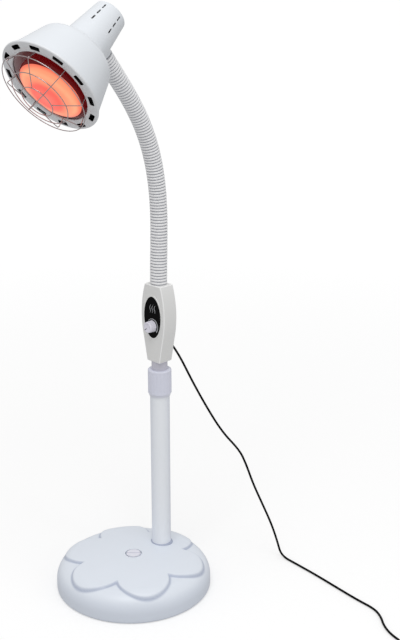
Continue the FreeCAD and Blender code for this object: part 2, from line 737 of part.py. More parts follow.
def dimmer_knob():
    """Tapered knob with a shallow dished face."""
    back = plate_front() - KNOB_GAP
    front = back - KNOB_LENGTH
    knob = turned([(0, 0), (KNOB_RADIUS, 0), (KNOB_TOP_RADIUS, KNOB_LENGTH), (0, KNOB_LENGTH)],
                  [0, 0, 1.6, 0])
    dish = turned([(0, KNOB_LENGTH + 1), (0, KNOB_LENGTH - 0.8), (KNOB_TOP_RADIUS - 3, KNOB_LENGTH - 0.8),
                   (KNOB_TOP_RADIUS - 2, KNOB_LENGTH + 1)])
    knob = knob.cut(dish)
    knob.rotate(Vec(0, 0, 0), X_AXIS, 90)
    knob.translate(Vec(0, back, dial_height()))
    hub = Vec(0, 0, dial_height())
    hollow = across(hub, BUSH_RADIUS * 1.6, back - KNOB_GAP - DIMMER_NUT_HEIGHT - 1, back + 1)
    return knob.cut(hollow).cut(across(hub, SHAFT_RADIUS, back - SHAFT_INTO_KNOB, back + 1))


def dimmer_shaft():
    """Shaft that the knob is pushed onto."""
    back = plate_front() - KNOB_GAP
    inner = box_front() + BOX_WALL + DIMMER_DEPTH / 2
    return across(Vec(0, 0, dial_height()), SHAFT_RADIUS, back - SHAFT_INTO_KNOB, inner)


def dimmer_body():
    """Potentiometer with its threaded bush."""
    hub = Vec(0, 0, dial_height())
    wall = box_front() + BOX_WALL
    can = across(hub, DIMMER_RADIUS, wall, wall + DIMMER_DEPTH)
    bush = across(hub, BUSH_RADIUS, plate_front() - DIMMER_NUT_HEIGHT, wall)
    return can.fuse(bush).cut(across(hub, SHAFT_RADIUS + SLIDE_CLEARANCE, 0, wall + DIMMER_DEPTH / 2 + 0.3))


def dimmer_nut():
    """Thin nut on the bush, hidden by the knob."""
    nut = hexagon(DIMMER_NUT_ACROSS, 0, DIMMER_NUT_HEIGHT)
    nut.rotate(Vec(0, 0, 0), X_AXIS, 90)
    nut.translate(Vec(0, plate_front(), dial_height()))
    return nut.cut(across(Vec(0, 0, dial_height()), BUSH_RADIUS, 0, POLE_Y))


def board_front():
    """Y of the circuit board's front face."""
    return box_back() - BOX_WALL - BOARD_THICKNESS


def board_bottom():
    """Height of the circuit board's lower edge."""
    return box_top() - BOARD_DROP - BOARD_HEIGHT


def dimmer_board():
    """Circuit board on the inside of the back shell."""
    return block(Vec(-BOARD_WIDTH / 2, board_front(), board_bottom()),
                 Vec(BOARD_WIDTH / 2, board_front() + BOARD_THICKNESS, board_bottom() + BOARD_HEIGHT))


def board_parts():
    """Capacitor, choke and switching device on the board."""
    front = board_front()
    low = board_bottom()
    capacitor = block(Vec(-13, front - 8, low + 4), Vec(4, front, low + 16))
    choke = rod(Vec(0, front - 7, low + 33), Vec(0, front, low + 33), 8)
    choke = choke.cut(rod(Vec(0, front - 7, low + 33), Vec(0, front, low + 33), 3))
    device = block(Vec(-5, front - 4.5, low + 45), Vec(5, front, low + 56))
    return Part.makeCompound([capacitor, choke, device])


# ---------------------------------------------------------------- gooseneck
def neck_hinges():
    """Forward distance, height and tilt in degrees of each knuckle, from the box up."""
    forward = 0.0
    height = box_top() + NECK_FIRST
    tilt = 0.0
    hinges = []
    for bend in NECK_BENDS:
        tilt += bend
        hinges.append((forward, height, tilt))
        forward += NECK_PITCH * math.sin(math.radians(tilt))
        height += NECK_PITCH * math.cos(math.radians(tilt))
    return hinges


def in_plane(forward, height, tilt):
    """Placement in the neck's upright plane: local Z tilted forward from the vertical."""
    turn = FreeCAD.Rotation(UP, NECK_YAW - 90)
    lean = FreeCAD.Rotation(Y_AXIS, tilt)
    place = Vec(0, POLE_Y, 0) + turn.multVec(Vec(forward, 0, height))
    return FreeCAD.Placement(place, turn.multiply(lean))


def segment_start():
    """Where a segment's outside starts above its ball, clear of the cup at full bend."""
    most = math.radians(max(NECK_BENDS) + NECK_TRAVEL)
    return (CUP_LIP + NECK_RADIUS * math.sin(most) + KNUCKLE_CLEARANCE) / math.cos(most)


def cup_cutter(height):
    """Hollow for the next segment's ball."""
    return Part.makeSphere(BALL_RADIUS + KNUCKLE_CLEARANCE, Vec(0, 0, height))


def gooseneck_base():
    """Lowest segment, screwed to the box's top, with the first cup."""
    top = NECK_FIRST + CUP_LIP
    body = cyl(NECK_RADIUS, 0, top).cut(cup_cutter(NECK_FIRST))
    nipple = cyl(NIPPLE_RADIUS, -BOX_CEILING - NUT_HEIGHT - 2, 0)
    piece = body.fuse(nipple).cut(cyl(NIPPLE_BORE, -BOX_WALL * 9, top))
    piece.translate(Vec(0, POLE_Y, box_top()))
    return piece.removeSplitter()


def gooseneck_base_nut():
    """Nut that clamps the gooseneck to the box's top wall."""
    top = box_top() - BOX_CEILING
    return at_pole(tube(NUT_RADIUS, NIPPLE_RADIUS, top - NUT_HEIGHT, top))


def gooseneck_segment(index):
    """Segment with a ball below and a cup above; the last one ends in the swivel's nipple."""
    last = index == len(NECK_BENDS) - 1
    length = NECK_LAST if last else NECK_PITCH + CUP_LIP
    body = cyl(NECK_RADIUS, segment_start(), length).fuse(Part.makeSphere(BALL_RADIUS, Vec(0, 0, 0)))
    if last:
        inner_end = NECK_LAST + SWIVEL_WASHER + BOSS_DEPTH - nut_depth() + NUT_HEIGHT + 1
        body = body.fuse(cyl(NIPPLE_RADIUS, length, inner_end))
        body = body.cut(cyl(NIPPLE_BORE, -BALL_RADIUS, inner_end))
    else:
        body = body.cut(cup_cutter(NECK_PITCH)).cut(cyl(NECK_BORE, -BALL_RADIUS, length))
    body.Placement = in_plane(*neck_hinges()[index])
    return body


def nut_depth():
    """Distance from the head's axis to the swivel nut's face, clear of the round wall."""
    wall_radius = neck_radius(SOCKET_BACK + NUT_RADIUS) - SHADE_WALL - KNUCKLE_CLEARANCE
    return math.sqrt(wall_radius ** 2 - NUT_RADIUS ** 2) - KNUCKLE_CLEARANCE


def swivel_nut():
    """Nut inside the shade's neck, on the swivel's nipple."""
    face = NECK_LAST + SWIVEL_WASHER + BOSS_DEPTH - nut_depth()
    nut = tube(NUT_RADIUS, NIPPLE_RADIUS, face, face + NUT_HEIGHT)
    nut.Placement = in_plane(*neck_hinges()[-1])
    return nut


# ---------------------------------------------------------------- lamp head
def head_placement():
    """Placement of the head's own frame: origin in the rim, +Z towards the back."""
    forward, height, tilt = neck_hinges()[-1]
    reach = NECK_LAST + SWIVEL_WASHER + BOSS_DEPTH
    forward += reach * math.sin(math.radians(tilt))
    height += reach * math.cos(math.radians(tilt))
    lean = math.radians(tilt - HEAD_CANT)
    forward -= SOCKET_BACK * math.sin(lean)
    height -= SOCKET_BACK * math.cos(lean)
    return in_plane(forward, height, tilt - HEAD_CANT)


def in_head(shape):
    """Moves a piece made in the head's frame to its place."""
    shape.Placement = head_placement().multiply(shape.Placement)
    return shape


def swivel_axis():
    """Direction of the swivel, from the gooseneck into the head, in the head's frame."""
    cant = math.radians(HEAD_CANT)
    return Vec(math.sin(cant), 0, math.cos(cant))


def neck_radius(back):
    """Outer radius of the shade's neck at a distance behind the rim."""
    share = (back - NECK_FOOT_BACK) / (NECK_END_BACK - NECK_FOOT_BACK)
    return NECK_FOOT_RADIUS + share * (NECK_END_RADIUS - NECK_FOOT_RADIUS)


def shade_path():
    """Corners of the shade's outside, from the rim to the back."""
    return [(RIM_RADIUS, RIM_START), (SHOULDER_RADIUS, SHOULDER_BACK),
            (NECK_FOOT_RADIUS, NECK_FOOT_BACK), (NECK_END_RADIUS, NECK_END_BACK), (0, NECK_END_BACK)]


def shade_inside():
    """Solid of the hollow inside the shade."""
    path = offset_path(shade_path(), SHADE_WALL)
    rounds = [0, SHOULDER_ROUND - SHADE_WALL, NECK_FOOT_ROUND + SHADE_WALL,
              NECK_END_ROUND - SHADE_WALL, 0, 0, 0]
    return turned(path + [(0, path[0][1] - 1), (path[0][0] + 0.3, path[0][1] - 1)], rounds)


def lamp_shade():
    """Sheet-metal shade with a vented neck and a boss for the swivel."""
    outside = turned(shade_path() + [(0, RIM_START)],
                     [0, SHOULDER_ROUND, NECK_FOOT_ROUND, NECK_END_ROUND, 0, 0])
    centre = Vec(0, 0, SOCKET_BACK)
    axis = swivel_axis()
    boss = rod(centre - axis * BOSS_DEPTH, centre - axis * (BOSS_DEPTH / 2), NECK_RADIUS)
    shade = outside.fuse(boss).cut(shade_inside())
    hole = rod(centre - axis * (BOSS_DEPTH + 1), centre, NIPPLE_RADIUS + SLIDE_CLEARANCE)
    shade = shade.cut(hole)
    for back in VENT_BACKS:
        for angle in VENT_ANGLES:
            slot = block(Vec(HOLDER_RADIUS, -VENT_WIDTH / 2, back - VENT_LENGTH / 2),
                         Vec(NECK_FOOT_RADIUS * 2, VENT_WIDTH / 2, back + VENT_LENGTH / 2))
            slot.rotate(Vec(0, 0, 0), UP, angle)
            shade = shade.cut(slot)
    return in_head(shade.removeSplitter())


def swivel_washer():
    """Thin dark washer between the gooseneck and the boss."""
    centre = Vec(0, 0, SOCKET_BACK)
    axis = swivel_axis()
    start = centre - axis * (BOSS_DEPTH + SWIVEL_WASHER)
    end = centre - axis * BOSS_DEPTH
    return in_head(rod(start, end, SWIVEL_WASHER_RADIUS)
                   .cut(rod(start, end, NIPPLE_RADIUS + SLIDE_CLEARANCE)))


def rim_ring():
    """Slotted cover ring that closes the shade's rim."""
    lip_inner = RING_OUTER - RING_THICKNESS + 0.2
    corners = [(RING_INNER, RING_SAG), (RING_CROWN, 0), (RING_OUTER, RING_SAG), (RING_OUTER, RING_LIP),
               (lip_inner, RING_LIP), (lip_inner, RING_SAG + RING_THICKNESS * 0.9),
               (RING_CROWN, RING_THICKNESS), (RING_INNER, RING_SAG + RING_THICKNESS)]
    ring = turned(corners, [0.5, 25, 2, 0, 0, 0.5, 20, 0.5])
    for step in range(RING_SLOTS):
        slot = block(Vec(RING_SLOT_RADIUS - RING_SLOT_WIDTH / 2, -RING_SLOT_LENGTH / 2, -1),
                     Vec(RING_SLOT_RADIUS + RING_SLOT_WIDTH / 2, RING_SLOT_LENGTH / 2,
                         RING_SAG + RING_THICKNESS + 1))
        slot = slot.makeFillet(2.0, [edge for edge in slot.Edges if edge.BoundBox.ZLength > 1])
        slot.rotate(Vec(0, 0, 0), UP, RING_SLOT_FIRST + 360 / RING_SLOTS * step)
        ring = ring.cut(slot)
    return in_head(ring)


def hook_back():
    """Distance behind the rim at which the guard's hooks lie, measured to the wire's middle."""
    return RING_SAG + RING_THICKNESS + WIRE_RADIUS + WIRE_SEAT


def reflector():
    """Open cone round the bulb that keeps its heat off the shade."""
    start = hook_back() + WIRE_RADIUS + WIRE_SEAT
    front = RING_INNER - WIRE_RADIUS
    path = [(REFLECTOR_FLANGE, start), (front, start), (REFLECTOR_END_RADIUS, REFLECTOR_END_BACK)]
    outline = path + [(REFLECTOR_END_RADIUS + REFLECTOR_WALL, REFLECTOR_END_BACK),
                      (front + REFLECTOR_WALL, start + REFLECTOR_WALL),
                      (REFLECTOR_FLANGE, start + REFLECTOR_WALL)]
    return in_head(turned(outline))


def guard_ring(radius, forward):
    """One hoop of the wire guard."""
    return in_head(ring_wire(radius, -forward, WIRE_RADIUS))


def spoke_corners(long):
    """Corners of a spoke as (radius, back), on the bulb's side of the hoops."""
    seat = 2 * WIRE_RADIUS + WIRE_SEAT
    outer, middle, inner = [(radius, -forward) for _, radius, forward in GUARD_RINGS]
    leg = RING_INNER - WIRE_RADIUS - WIRE_SEAT
    hook = hook_back()
    corners = [(inner[0] - seat * 0.25, inner[1] + seat * 0.97),
               (middle[0] - seat * 0.3, middle[1] + seat * 0.955),
               (outer[0] - seat * 0.8, outer[1] + seat * 0.6),
               (leg, 0), (leg, hook), (leg + GUARD_HOOK, hook)]
    if long:
        corners.insert(0, (0, -GUARD_CROWN + WIRE_RADIUS))
    return corners


def guard_spokes():
    """Spokes of the guard: some end on the inner hoop, the others meet in the middle."""
    short = []
    long = []
    for step in range(GUARD_SPOKES):
        runs_on = step % GUARD_LONG_EVERY == 1
        spoke = bent_wire([Vec(radius, 0, back) for radius, back in spoke_corners(runs_on)], WIRE_RADIUS)
        spoke.rotate(Vec(0, 0, 0), UP, GUARD_FIRST_SPOKE + 360 / GUARD_SPOKES * step)
        (long if runs_on else short).append(spoke)
    star = fused(long + [Part.makeSphere(WIRE_RADIUS, Vec(0, 0, -GUARD_CROWN + WIRE_RADIUS))])
    return in_head(Part.makeCompound([star] + short))


def bulb_solid(inset):
    """Solid of the bulb's outside, or of its inside when inset by the glass."""
    edge = BULB_RADIUS - inset
    face = -BULB_FACE + inset
    neck = BULB_NECK_RADIUS - inset
    def point(radius, back):
        return Vec(radius, 0, back)
    near = point(edge - BULB_EDGE_ROUND, BULB_EDGE_BACK - BULB_EDGE_ROUND * 0.75 + inset)
    edges = [
        Part.Arc(point(0, face), point(edge / 2, face + 2.2), near).toShape(),
        Part.Arc(near, point(edge - 0.9, BULB_EDGE_BACK + inset * 0.5),
                 point(edge, BULB_EDGE_BACK + BULB_EDGE_ROUND)).toShape(),
        Part.Arc(point(edge, BULB_EDGE_BACK + BULB_EDGE_ROUND), point(edge * 0.82, 45),
                 point(neck + BULB_THROAT_FLARE, BULB_NECK_BACK - BULB_THROAT)).toShape(),
        Part.Arc(point(neck + BULB_THROAT_FLARE, BULB_NECK_BACK - BULB_THROAT),
                 point(neck + 2, BULB_NECK_BACK - 5), point(neck, BULB_NECK_BACK + 6)).toShape(),
        Part.LineSegment(point(neck, BULB_NECK_BACK + 6), point(neck, BULB_GLASS_END - inset)).toShape(),
        Part.LineSegment(point(neck, BULB_GLASS_END - inset), point(0, BULB_GLASS_END - inset)).toShape(),
        Part.LineSegment(point(0, BULB_GLASS_END - inset), point(0, face)).toShape(),
    ]
    return Part.Face(Part.Wire(edges)).revolve(Vec(0, 0, 0), UP, 360)


def bulb_glass():
    """Blown glass of the reflector bulb."""
    return in_head(bulb_solid(0.0).cut(bulb_solid(BULB_WALL)))


def bulb_stem():
    """Glass stem that carries the filament."""
    end = BULB_GLASS_END - BULB_WALL
    return in_head(turned([(0, end), (STEM_RADIUS * 2, end), (STEM_RADIUS, end - 12),
                           (STEM_RADIUS * 0.7, end - STEM_LENGTH), (0, end - STEM_LENGTH)]))


def bulb_filament():
    """Ring-shaped filament on four support wires."""
    end = BULB_GLASS_END - BULB_WALL - STEM_LENGTH
    height = end - FILAMENT_DROP
    pieces = [ring_wire(FILAMENT_RADIUS, height, FILAMENT_WIRE)]
    for step in range(4):
        angle = math.radians(90 * step)
        out = Vec(math.cos(angle), math.sin(angle), 0)
        foot = out * (STEM_RADIUS * 0.3) + Vec(0, 0, end)
        pieces.append(rod(foot, out * FILAMENT_RADIUS + Vec(0, 0, height), SUPPORT_WIRE))
    wires = pieces[0]
    for piece in pieces[1:]:
        wires = wires.fuse(piece)
    roof = cyl(FILAMENT_RADIUS * 2, end, BULB_GLASS_END)
    return in_head(wires.cut(roof))


def cap_end():
    """Back of the bulb's centre contact."""
    return BULB_GLASS_END + CAP_SHELL_LENGTH + CAP_INSULATOR_LENGTH + CAP_CONTACT_LENGTH


def bulb_cap():
    """Screw cap of the bulb."""
    flare = turned([(0, BULB_GLASS_END), (CAP_SHELL_RADIUS, BULB_GLASS_END),
                    (CAP_SHELL_RADIUS, BULB_GLASS_END + CAP_SHELL_LENGTH),
                    (0, BULB_GLASS_END + CAP_SHELL_LENGTH)], [0, 0, 1.5, 0])
    return in_head(flare)


def bulb_insulator():
    """Black glass between the cap and its centre contact."""
    start = BULB_GLASS_END + CAP_SHELL_LENGTH
    return in_head(Part.makeCone(CAP_SHELL_RADIUS - 2, CAP_CONTACT_RADIUS + 1, CAP_INSULATOR_LENGTH,
                                 Vec(0, 0, start)))


def bulb_contact():
    """Solder button at the end of the cap."""
    return in_head(cyl(CAP_CONTACT_RADIUS, cap_end() - CAP_CONTACT_LENGTH, cap_end()))


def holder_back():
    """Back of the ceramic holder."""
    return cap_end() + HOLDER_TONGUE + HOLDER_FLOOR


def lamp_holder():
    """Ceramic lamp holder."""
    body = turned([(0, HOLDER_START), (HOLDER_RADIUS, HOLDER_START), (HOLDER_RADIUS, holder_back()),
                   (0, holder_back())], [0, 1.5, 1.5, 0])
    bore = CAP_SHELL_RADIUS + SEAT_CLEARANCE + HOLDER_SHELL_WALL
    return in_head(body.cut(cyl(bore, HOLDER_START, cap_end() + HOLDER_TONGUE)))


def holder_shell():
    """Threaded metal sleeve in the holder."""
    inner = CAP_SHELL_RADIUS + SEAT_CLEARANCE
    return in_head(tube(inner + HOLDER_SHELL_WALL, inner, HOLDER_START, BULB_GLASS_END + CAP_SHELL_LENGTH))


def holder_tongue():
    """Spring contact under the bulb's centre contact."""
    return in_head(block(Vec(-CAP_SHELL_RADIUS * 0.8, -3, cap_end()),
                         Vec(CAP_SHELL_RADIUS * 0.8, 3, cap_end() + HOLDER_TONGUE)))


def holder_plate():
    """Steel plate across the neck that carries the holder."""
    radius = neck_radius(holder_back() + HOLDER_PLATE) - SHADE_WALL - 2 * SEAT_CLEARANCE
    plate = cyl(radius, holder_back(), holder_back() + HOLDER_PLATE)
    for side in (-1, 1):
        plate = plate.cut(cyl(2.1, 0, NECK_END_BACK, 0, side * HOLDER_SCREW_PLACE))
    return in_head(plate)


def holder_screws():
    """Two screws through the plate into the holder's ears."""
    screws = []
    seat = holder_back() + HOLDER_PLATE
    for side in (-1, 1):
        head = cyl(3.6, seat, seat + 2.2, 0, side * HOLDER_SCREW_PLACE)
        shank = cyl(2.0, holder_back(), seat, 0, side * HOLDER_SCREW_PLACE)
        screws.append(head.fuse(shank))
    return in_head(Part.makeCompound(screws))


# ---------------------------------------------------------------- mains cord
def relief_axis():
    """Direction in which the strain relief points."""
    tilt = math.radians(RELIEF_TILT)
    return Vec(0, math.cos(tilt), -math.sin(tilt))


def cord_start():
    """Where the free cord starts, just clear of the strain relief's end face."""
    reach = RELIEF_LENGTH + CORD_START_GAP
    return Vec(0, box_back(), cord_exit_height()) + relief_axis() * reach


def cord_strain_relief():
    """Tapered rubber sleeve in the box's back wall."""
    root = Vec(0, box_back(), cord_exit_height())
    start = root - relief_axis() * RELIEF_ROOT_RADIUS
    cone = Part.makeCone(RELIEF_ROOT_RADIUS, RELIEF_TIP_RADIUS, RELIEF_LENGTH + RELIEF_ROOT_RADIUS,
                         start, relief_axis())
    outside = block(Vec(-BASE_RADIUS, box_back(), 0), Vec(BASE_RADIUS, BASE_RADIUS * 2, box_top()))
    flange = rod(root, root + Vec(0, RELIEF_FLANGE, 0), RELIEF_FLANGE_RADIUS)
    stem = rod(root - Vec(0, BOX_WALL * 2, 0), root, RELIEF_ROOT_RADIUS - SEAT_CLEARANCE)
    return fused([cone.common(outside), flange, stem])


def route_arcs(points):
    """Straight runs and tangent arcs along a route, with each arc's radius."""
    edges = []
    radii = []
    here = points[0]
    for before, corner, after in zip(points, points[1:], points[2:]):
        back = (before - corner).normalize()
        ahead = (after - corner).normalize()
        half = back.getAngle(ahead) / 2
        reach = 0.45 * min(corner.distanceToPoint(before), corner.distanceToPoint(after))
        radius = reach * math.tan(half)
        inward = (back + ahead).normalize()
        middle = corner + inward * (radius / math.sin(half) - radius)
        start = corner + back * reach
        end = corner + ahead * reach
        edges.append(Part.LineSegment(here, start).toShape())
        edges.append(Part.Arc(start, middle, end).toShape())
        radii.append(radius)
        here = end
    edges.append(Part.LineSegment(here, points[-1]).toShape())
    return edges, radii


def cord_piece(points, name):
    """Round cord along a route; prints its bend radii and compares its volume."""
    edges, radii = route_arcs(points)
    path = Part.Wire(edges)
    start = (points[1] - points[0]).normalize()
    section = Part.Wire(Part.makeCircle(CORD_RADIUS, points[0], start))
    piece = path.makePipeShell([section], True, False)
    exact = math.pi * CORD_RADIUS ** 2 * path.Length
    print(name, "radii", [round(radius) for radius in radii], "length", round(path.Length, 1),
          "volume share", round(piece.Volume / exact, 4))
    return piece


def cord_tube():
    """Free cord from the strain relief over the floor to the coil."""
    return cord_piece([cord_start()] + [Vec(*place) for place in CORD_ROUTE], "cord_tube")


def cord_coil():
    """Outer shape of the coiled rest of the cord."""
    half = COIL_WIDTH / 2
    coil = turned([(COIL_RADIUS - half, COIL_LIFT), (COIL_RADIUS + half, COIL_LIFT),
                   (COIL_RADIUS + half, COIL_HEIGHT), (COIL_RADIUS - half, COIL_HEIGHT)], [2, 2, 2, 2])
    coil.translate(COIL_CENTRE)
    return coil


def cord_tail():
    """Cord from the coil to the plug."""
    return cord_piece([Vec(*place) for place in TAIL_ROUTE], "cord_tail")


def in_plug(shape):
    """Moves a piece made along +X, cord end at the origin, to the end of the tail."""
    end = Vec(*TAIL_ROUTE[-1])
    along = end - Vec(*TAIL_ROUTE[-2])
    shape.rotate(Vec(0, 0, 0), UP, math.degrees(math.atan2(along.y, along.x)))
    shape.translate(end)
    return shape


def plug_body():
    """Flat two-pin plug."""
    low = Vec(PLUG_NECK, -PLUG_WIDTH / 2, -PLUG_HEIGHT / 2 + COIL_LIFT)
    body = block(low, Vec(PLUG_NECK + PLUG_LENGTH, PLUG_WIDTH / 2, PLUG_HEIGHT / 2))
    body = body.makeFillet(PLUG_ROUND, [edge for edge in body.Edges if edge.BoundBox.XLength > 1])
    neck = Part.makeCone(PLUG_NECK_RADIUS, PLUG_NECK_RADIUS * 1.4, PLUG_NECK, Vec(0, 0, 0), X_AXIS)
    return in_plug(body.fuse(neck))


def plug_pins():
    """Two round pins."""
    start = PLUG_NECK + PLUG_LENGTH
    pins = [rod(Vec(start, side * PIN_HALF_SPACING, 0), Vec(start + PIN_LENGTH, side * PIN_HALF_SPACING, 0),
                PIN_RADIUS) for side in (-1, 1)]
    return in_plug(Part.makeCompound(pins))


# ---------------------------------------------------------------- export
def all_nodes():
    """Every piece of the lamp by its name."""
    front_shell, back_shell = box_shells()
    nodes = {
        "base_shell": base_shell(),
        "base_ballast": base_ballast(),
        "filler_cap": filler_cap(),
        "filler_seal": filler_seal(),
        "lower_pole": lower_pole(),
        "pole_foot_plug": pole_foot_plug(),
        "base_bolt": base_bolt(),
        "base_washer": base_washer(),
        "pole_fitting": pole_fitting(),
        "collet": collet(),
        "lock_collar": lock_collar(),
        "upper_pole": upper_pole(),
        "pole_glide": pole_glide(),
        "box_front_shell": front_shell,
        "box_back_shell": back_shell,
        "box_screws": box_screws(),
        "dial_plate": dial_plate(),
        "dimmer_knob": dimmer_knob(),
        "dimmer_shaft": dimmer_shaft(),
        "dimmer_body": dimmer_body(),
        "dimmer_nut": dimmer_nut(),
        "dimmer_board": dimmer_board(),
        "board_parts": board_parts(),
        "gooseneck_base": gooseneck_base(),
        "gooseneck_base_nut": gooseneck_base_nut(),
        "swivel_nut": swivel_nut(),
        "swivel_washer": swivel_washer(),
        "lamp_shade": lamp_shade(),
        "rim_ring": rim_ring(),
        "reflector": reflector(),
        "guard_spokes": guard_spokes(),
        "bulb_glass": bulb_glass(),
        "bulb_stem": bulb_stem(),
        "bulb_filament": bulb_filament(),
        "bulb_cap": bulb_cap(),
        "bulb_insulator": bulb_insulator(),
        "bulb_contact": bulb_contact(),
        "lamp_holder": lamp_holder(),
        "holder_shell": holder_shell(),
        "holder_tongue": holder_tongue(),
        "holder_plate": holder_plate(),
        "holder_screws": holder_screws(),
        "cord_strain_relief": cord_strain_relief(),
        "cord_tube": cord_tube(),
        "cord_coil": cord_coil(),
        "cord_tail": cord_tail(),
        "plug_body": plug_body(),
        "plug_pins": plug_pins(),
    }
    for index in range(len(NECK_BENDS)):
        nodes["gooseneck_segment_" + str(index + 1)] = gooseneck_segment(index)
    for name, radius, forward in GUARD_RINGS:
        nodes["guard_" + name + "_ring"] = guard_ring(radius, forward)
    return nodes


os.makedirs("parts", exist_ok=True)
for node, shape in all_nodes().items():
    shape.exportStep("parts/" + node + ".step")
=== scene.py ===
import bpy
import json
import math
from mathutils import Matrix, Vector


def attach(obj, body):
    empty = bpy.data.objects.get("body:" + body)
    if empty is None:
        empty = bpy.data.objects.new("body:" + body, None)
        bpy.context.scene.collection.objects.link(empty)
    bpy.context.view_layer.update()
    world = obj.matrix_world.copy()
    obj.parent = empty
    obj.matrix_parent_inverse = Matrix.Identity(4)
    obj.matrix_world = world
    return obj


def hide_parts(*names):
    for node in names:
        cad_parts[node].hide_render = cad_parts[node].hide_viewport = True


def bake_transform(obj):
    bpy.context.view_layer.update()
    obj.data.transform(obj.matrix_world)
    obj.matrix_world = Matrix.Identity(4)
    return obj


# An infrared heat lamp on a telescopic floor stand: weighted base, two poles with a twist
# lock, dimmer box, gooseneck, and a vented shade with a red reflector bulb behind a guard.
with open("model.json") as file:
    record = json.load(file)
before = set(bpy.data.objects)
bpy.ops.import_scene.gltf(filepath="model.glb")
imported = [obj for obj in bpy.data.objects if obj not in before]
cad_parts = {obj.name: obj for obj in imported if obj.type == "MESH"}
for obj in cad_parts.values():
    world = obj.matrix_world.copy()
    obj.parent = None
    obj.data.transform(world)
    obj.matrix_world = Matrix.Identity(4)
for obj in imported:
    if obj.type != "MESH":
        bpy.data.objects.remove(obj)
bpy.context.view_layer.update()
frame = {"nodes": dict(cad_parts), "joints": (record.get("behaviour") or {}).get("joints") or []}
scene = bpy.context.scene
joints = {joint["name"]: joint for joint in frame["joints"]}


# ---- Camera -------------------------------------------------------------------------------
# A short telephoto at chest height, turned 45 degrees round the stand and looking a little
# down on it.
CAMERA_PLACE = Vector((1.57717, -1.38303, 1.24237))
CAMERA_AIM = Vector((-0.67343, 0.67204, -0.30796))
CAMERA_LENS = 65.13
CAMERA_SENSOR = 36.0
CAMERA_NEAR = 0.05

camera_data = bpy.data.cameras.new("camera")
camera_data.lens = CAMERA_LENS
camera_data.sensor_width = CAMERA_SENSOR
camera_data.clip_start = CAMERA_NEAR
camera = bpy.data.objects.new("camera", camera_data)
camera.location = CAMERA_PLACE
camera.rotation_euler = CAMERA_AIM.to_track_quat("-Z", "Y").to_euler()
scene.collection.objects.link(camera)
scene.camera = camera


# ---- Mains cord ---------------------------------------------------------------------------
# A limp black PVC cord, 4.5 mm thick and 1.8 m long. It falls from the box's back, lies over
# the floor and ends in a small coil with its two-pin plug beside it.
CORD_RADIUS = 0.00225
CORD_SIDES = 14
CORD_CURVE_ORDER = 3
CORD_CURVE_STEPS = 8
ON_FLOOR = 0.0023
CORD_ROUTE = [
    (0.0, 0.10978, 0.49109),
    (0.0, 0.1302, 0.4643),
    (0.016, 0.152, 0.405),
    (0.036, 0.172, 0.350),
    (0.062, 0.193, 0.294),
    (0.087, 0.219, 0.253),
    (0.095, 0.230, 0.222),
    (0.105, 0.242, 0.176),
    (0.116, 0.257, 0.132),
    (0.130, 0.274, 0.080),
    (0.1385, 0.2845, 0.038),
    (0.144, 0.292, ON_FLOOR),
    (0.190, 0.288, ON_FLOOR),
    (0.246, 0.283, ON_FLOOR),
    (0.309, 0.2745, ON_FLOOR),
    (0.366, 0.267, ON_FLOOR),
    (0.412, 0.2645, ON_FLOOR),
    (0.438, 0.250, ON_FLOOR),
    (0.459, 0.230, ON_FLOOR),
    (0.485, 0.216, ON_FLOOR),
    (0.513, 0.209, ON_FLOOR),
    (0.546, 0.2035, ON_FLOOR),
]
COIL_CENTRE = Vector((0.570, 0.168, 0.0))
COIL_OUTER = 0.0293
COIL_INNER = 0.0205
COIL_TURNS_DOWN = 2.0
COIL_TURNS_UP = 2.05
COIL_LAYER = 0.0045
COIL_POINTS = 16
COIL_START = 75.0
COIL_CLIMB_TURNS = 0.5
TAIL_ROUTE = [
    (0.5990, 0.145, 0.0050),
    (0.5972, 0.128, ON_FLOOR),
    (0.5940, 0.116, 0.0035),
    (0.5900, 0.106, 0.0068),
    (0.5840, 0.090, 0.0068),
]
CLOUD_SCALE = 22.0
CLOUD_DETAIL = 4.0
CLOUD_ROUGHENING = 0.12
GRAIN_DETAIL = 3.0
GRAIN_STRENGTH = 0.6
COAT_ROUGHNESS = 0.12


def link(piece):
    """Puts a piece into the scene."""
    scene.collection.objects.link(piece)
    return piece


def linear(red, green, blue):
    """Scene colour of an sRGB colour in 0 to 255."""
    return tuple((value / 255 / 12.92) if value < 11 else ((value / 255 + 0.055) / 1.055) ** 2.4
                 for value in (red, green, blue)) + (1.0,)


def evaluated_mesh(source):
    """Plain mesh of what a curve or a piece with modifiers makes."""
    bpy.context.view_layer.update()
    evaluated = source.evaluated_get(bpy.context.evaluated_depsgraph_get())
    return bpy.data.meshes.new_from_object(evaluated)


def settled(piece):
    """The piece with its modifiers' result as its own plain mesh."""
    mesh = evaluated_mesh(piece)
    piece.modifiers.clear()
    piece.data = mesh
    mesh.name = piece.name
    return piece


def polyline(name, lines, closed=False):
    """Piece of edges only, through each line's points, for geometry nodes to follow."""
    points, edges = [], []
    for line in lines:
        start = len(points)
        points += [tuple(point) for point in line]
        edges += [(at, at + 1) for at in range(start, len(points) - 1)]
        if closed:
            edges.append((len(points) - 1, start))
    mesh = bpy.data.meshes.new(name)
    mesh.from_pydata(points, edges, [])
    return link(bpy.data.objects.new(name, mesh))


def feed(tree, target, inputs):
    """Gives a node's inputs their values, or links them from the sockets given."""
    for name, value in inputs.items():
        if isinstance(value, bpy.types.NodeSocket):
            tree.links.new(value, target.inputs[name])
        else:
            target.inputs[name].default_value = value
    return target


def node(tree, kind, inputs=None, **settings):
    """New node of a kind. Its settings come before its inputs, which they may change."""
    made = tree.nodes.new(kind)
    for name, value in settings.items():
        setattr(made, name, value)
    return feed(tree, made, inputs or {})


def maths(tree, operation, *values):
    """Result of a maths node on numbers or sockets."""
    return node(tree, "ShaderNodeMath", dict(enumerate(values)), operation=operation).outputs[0]


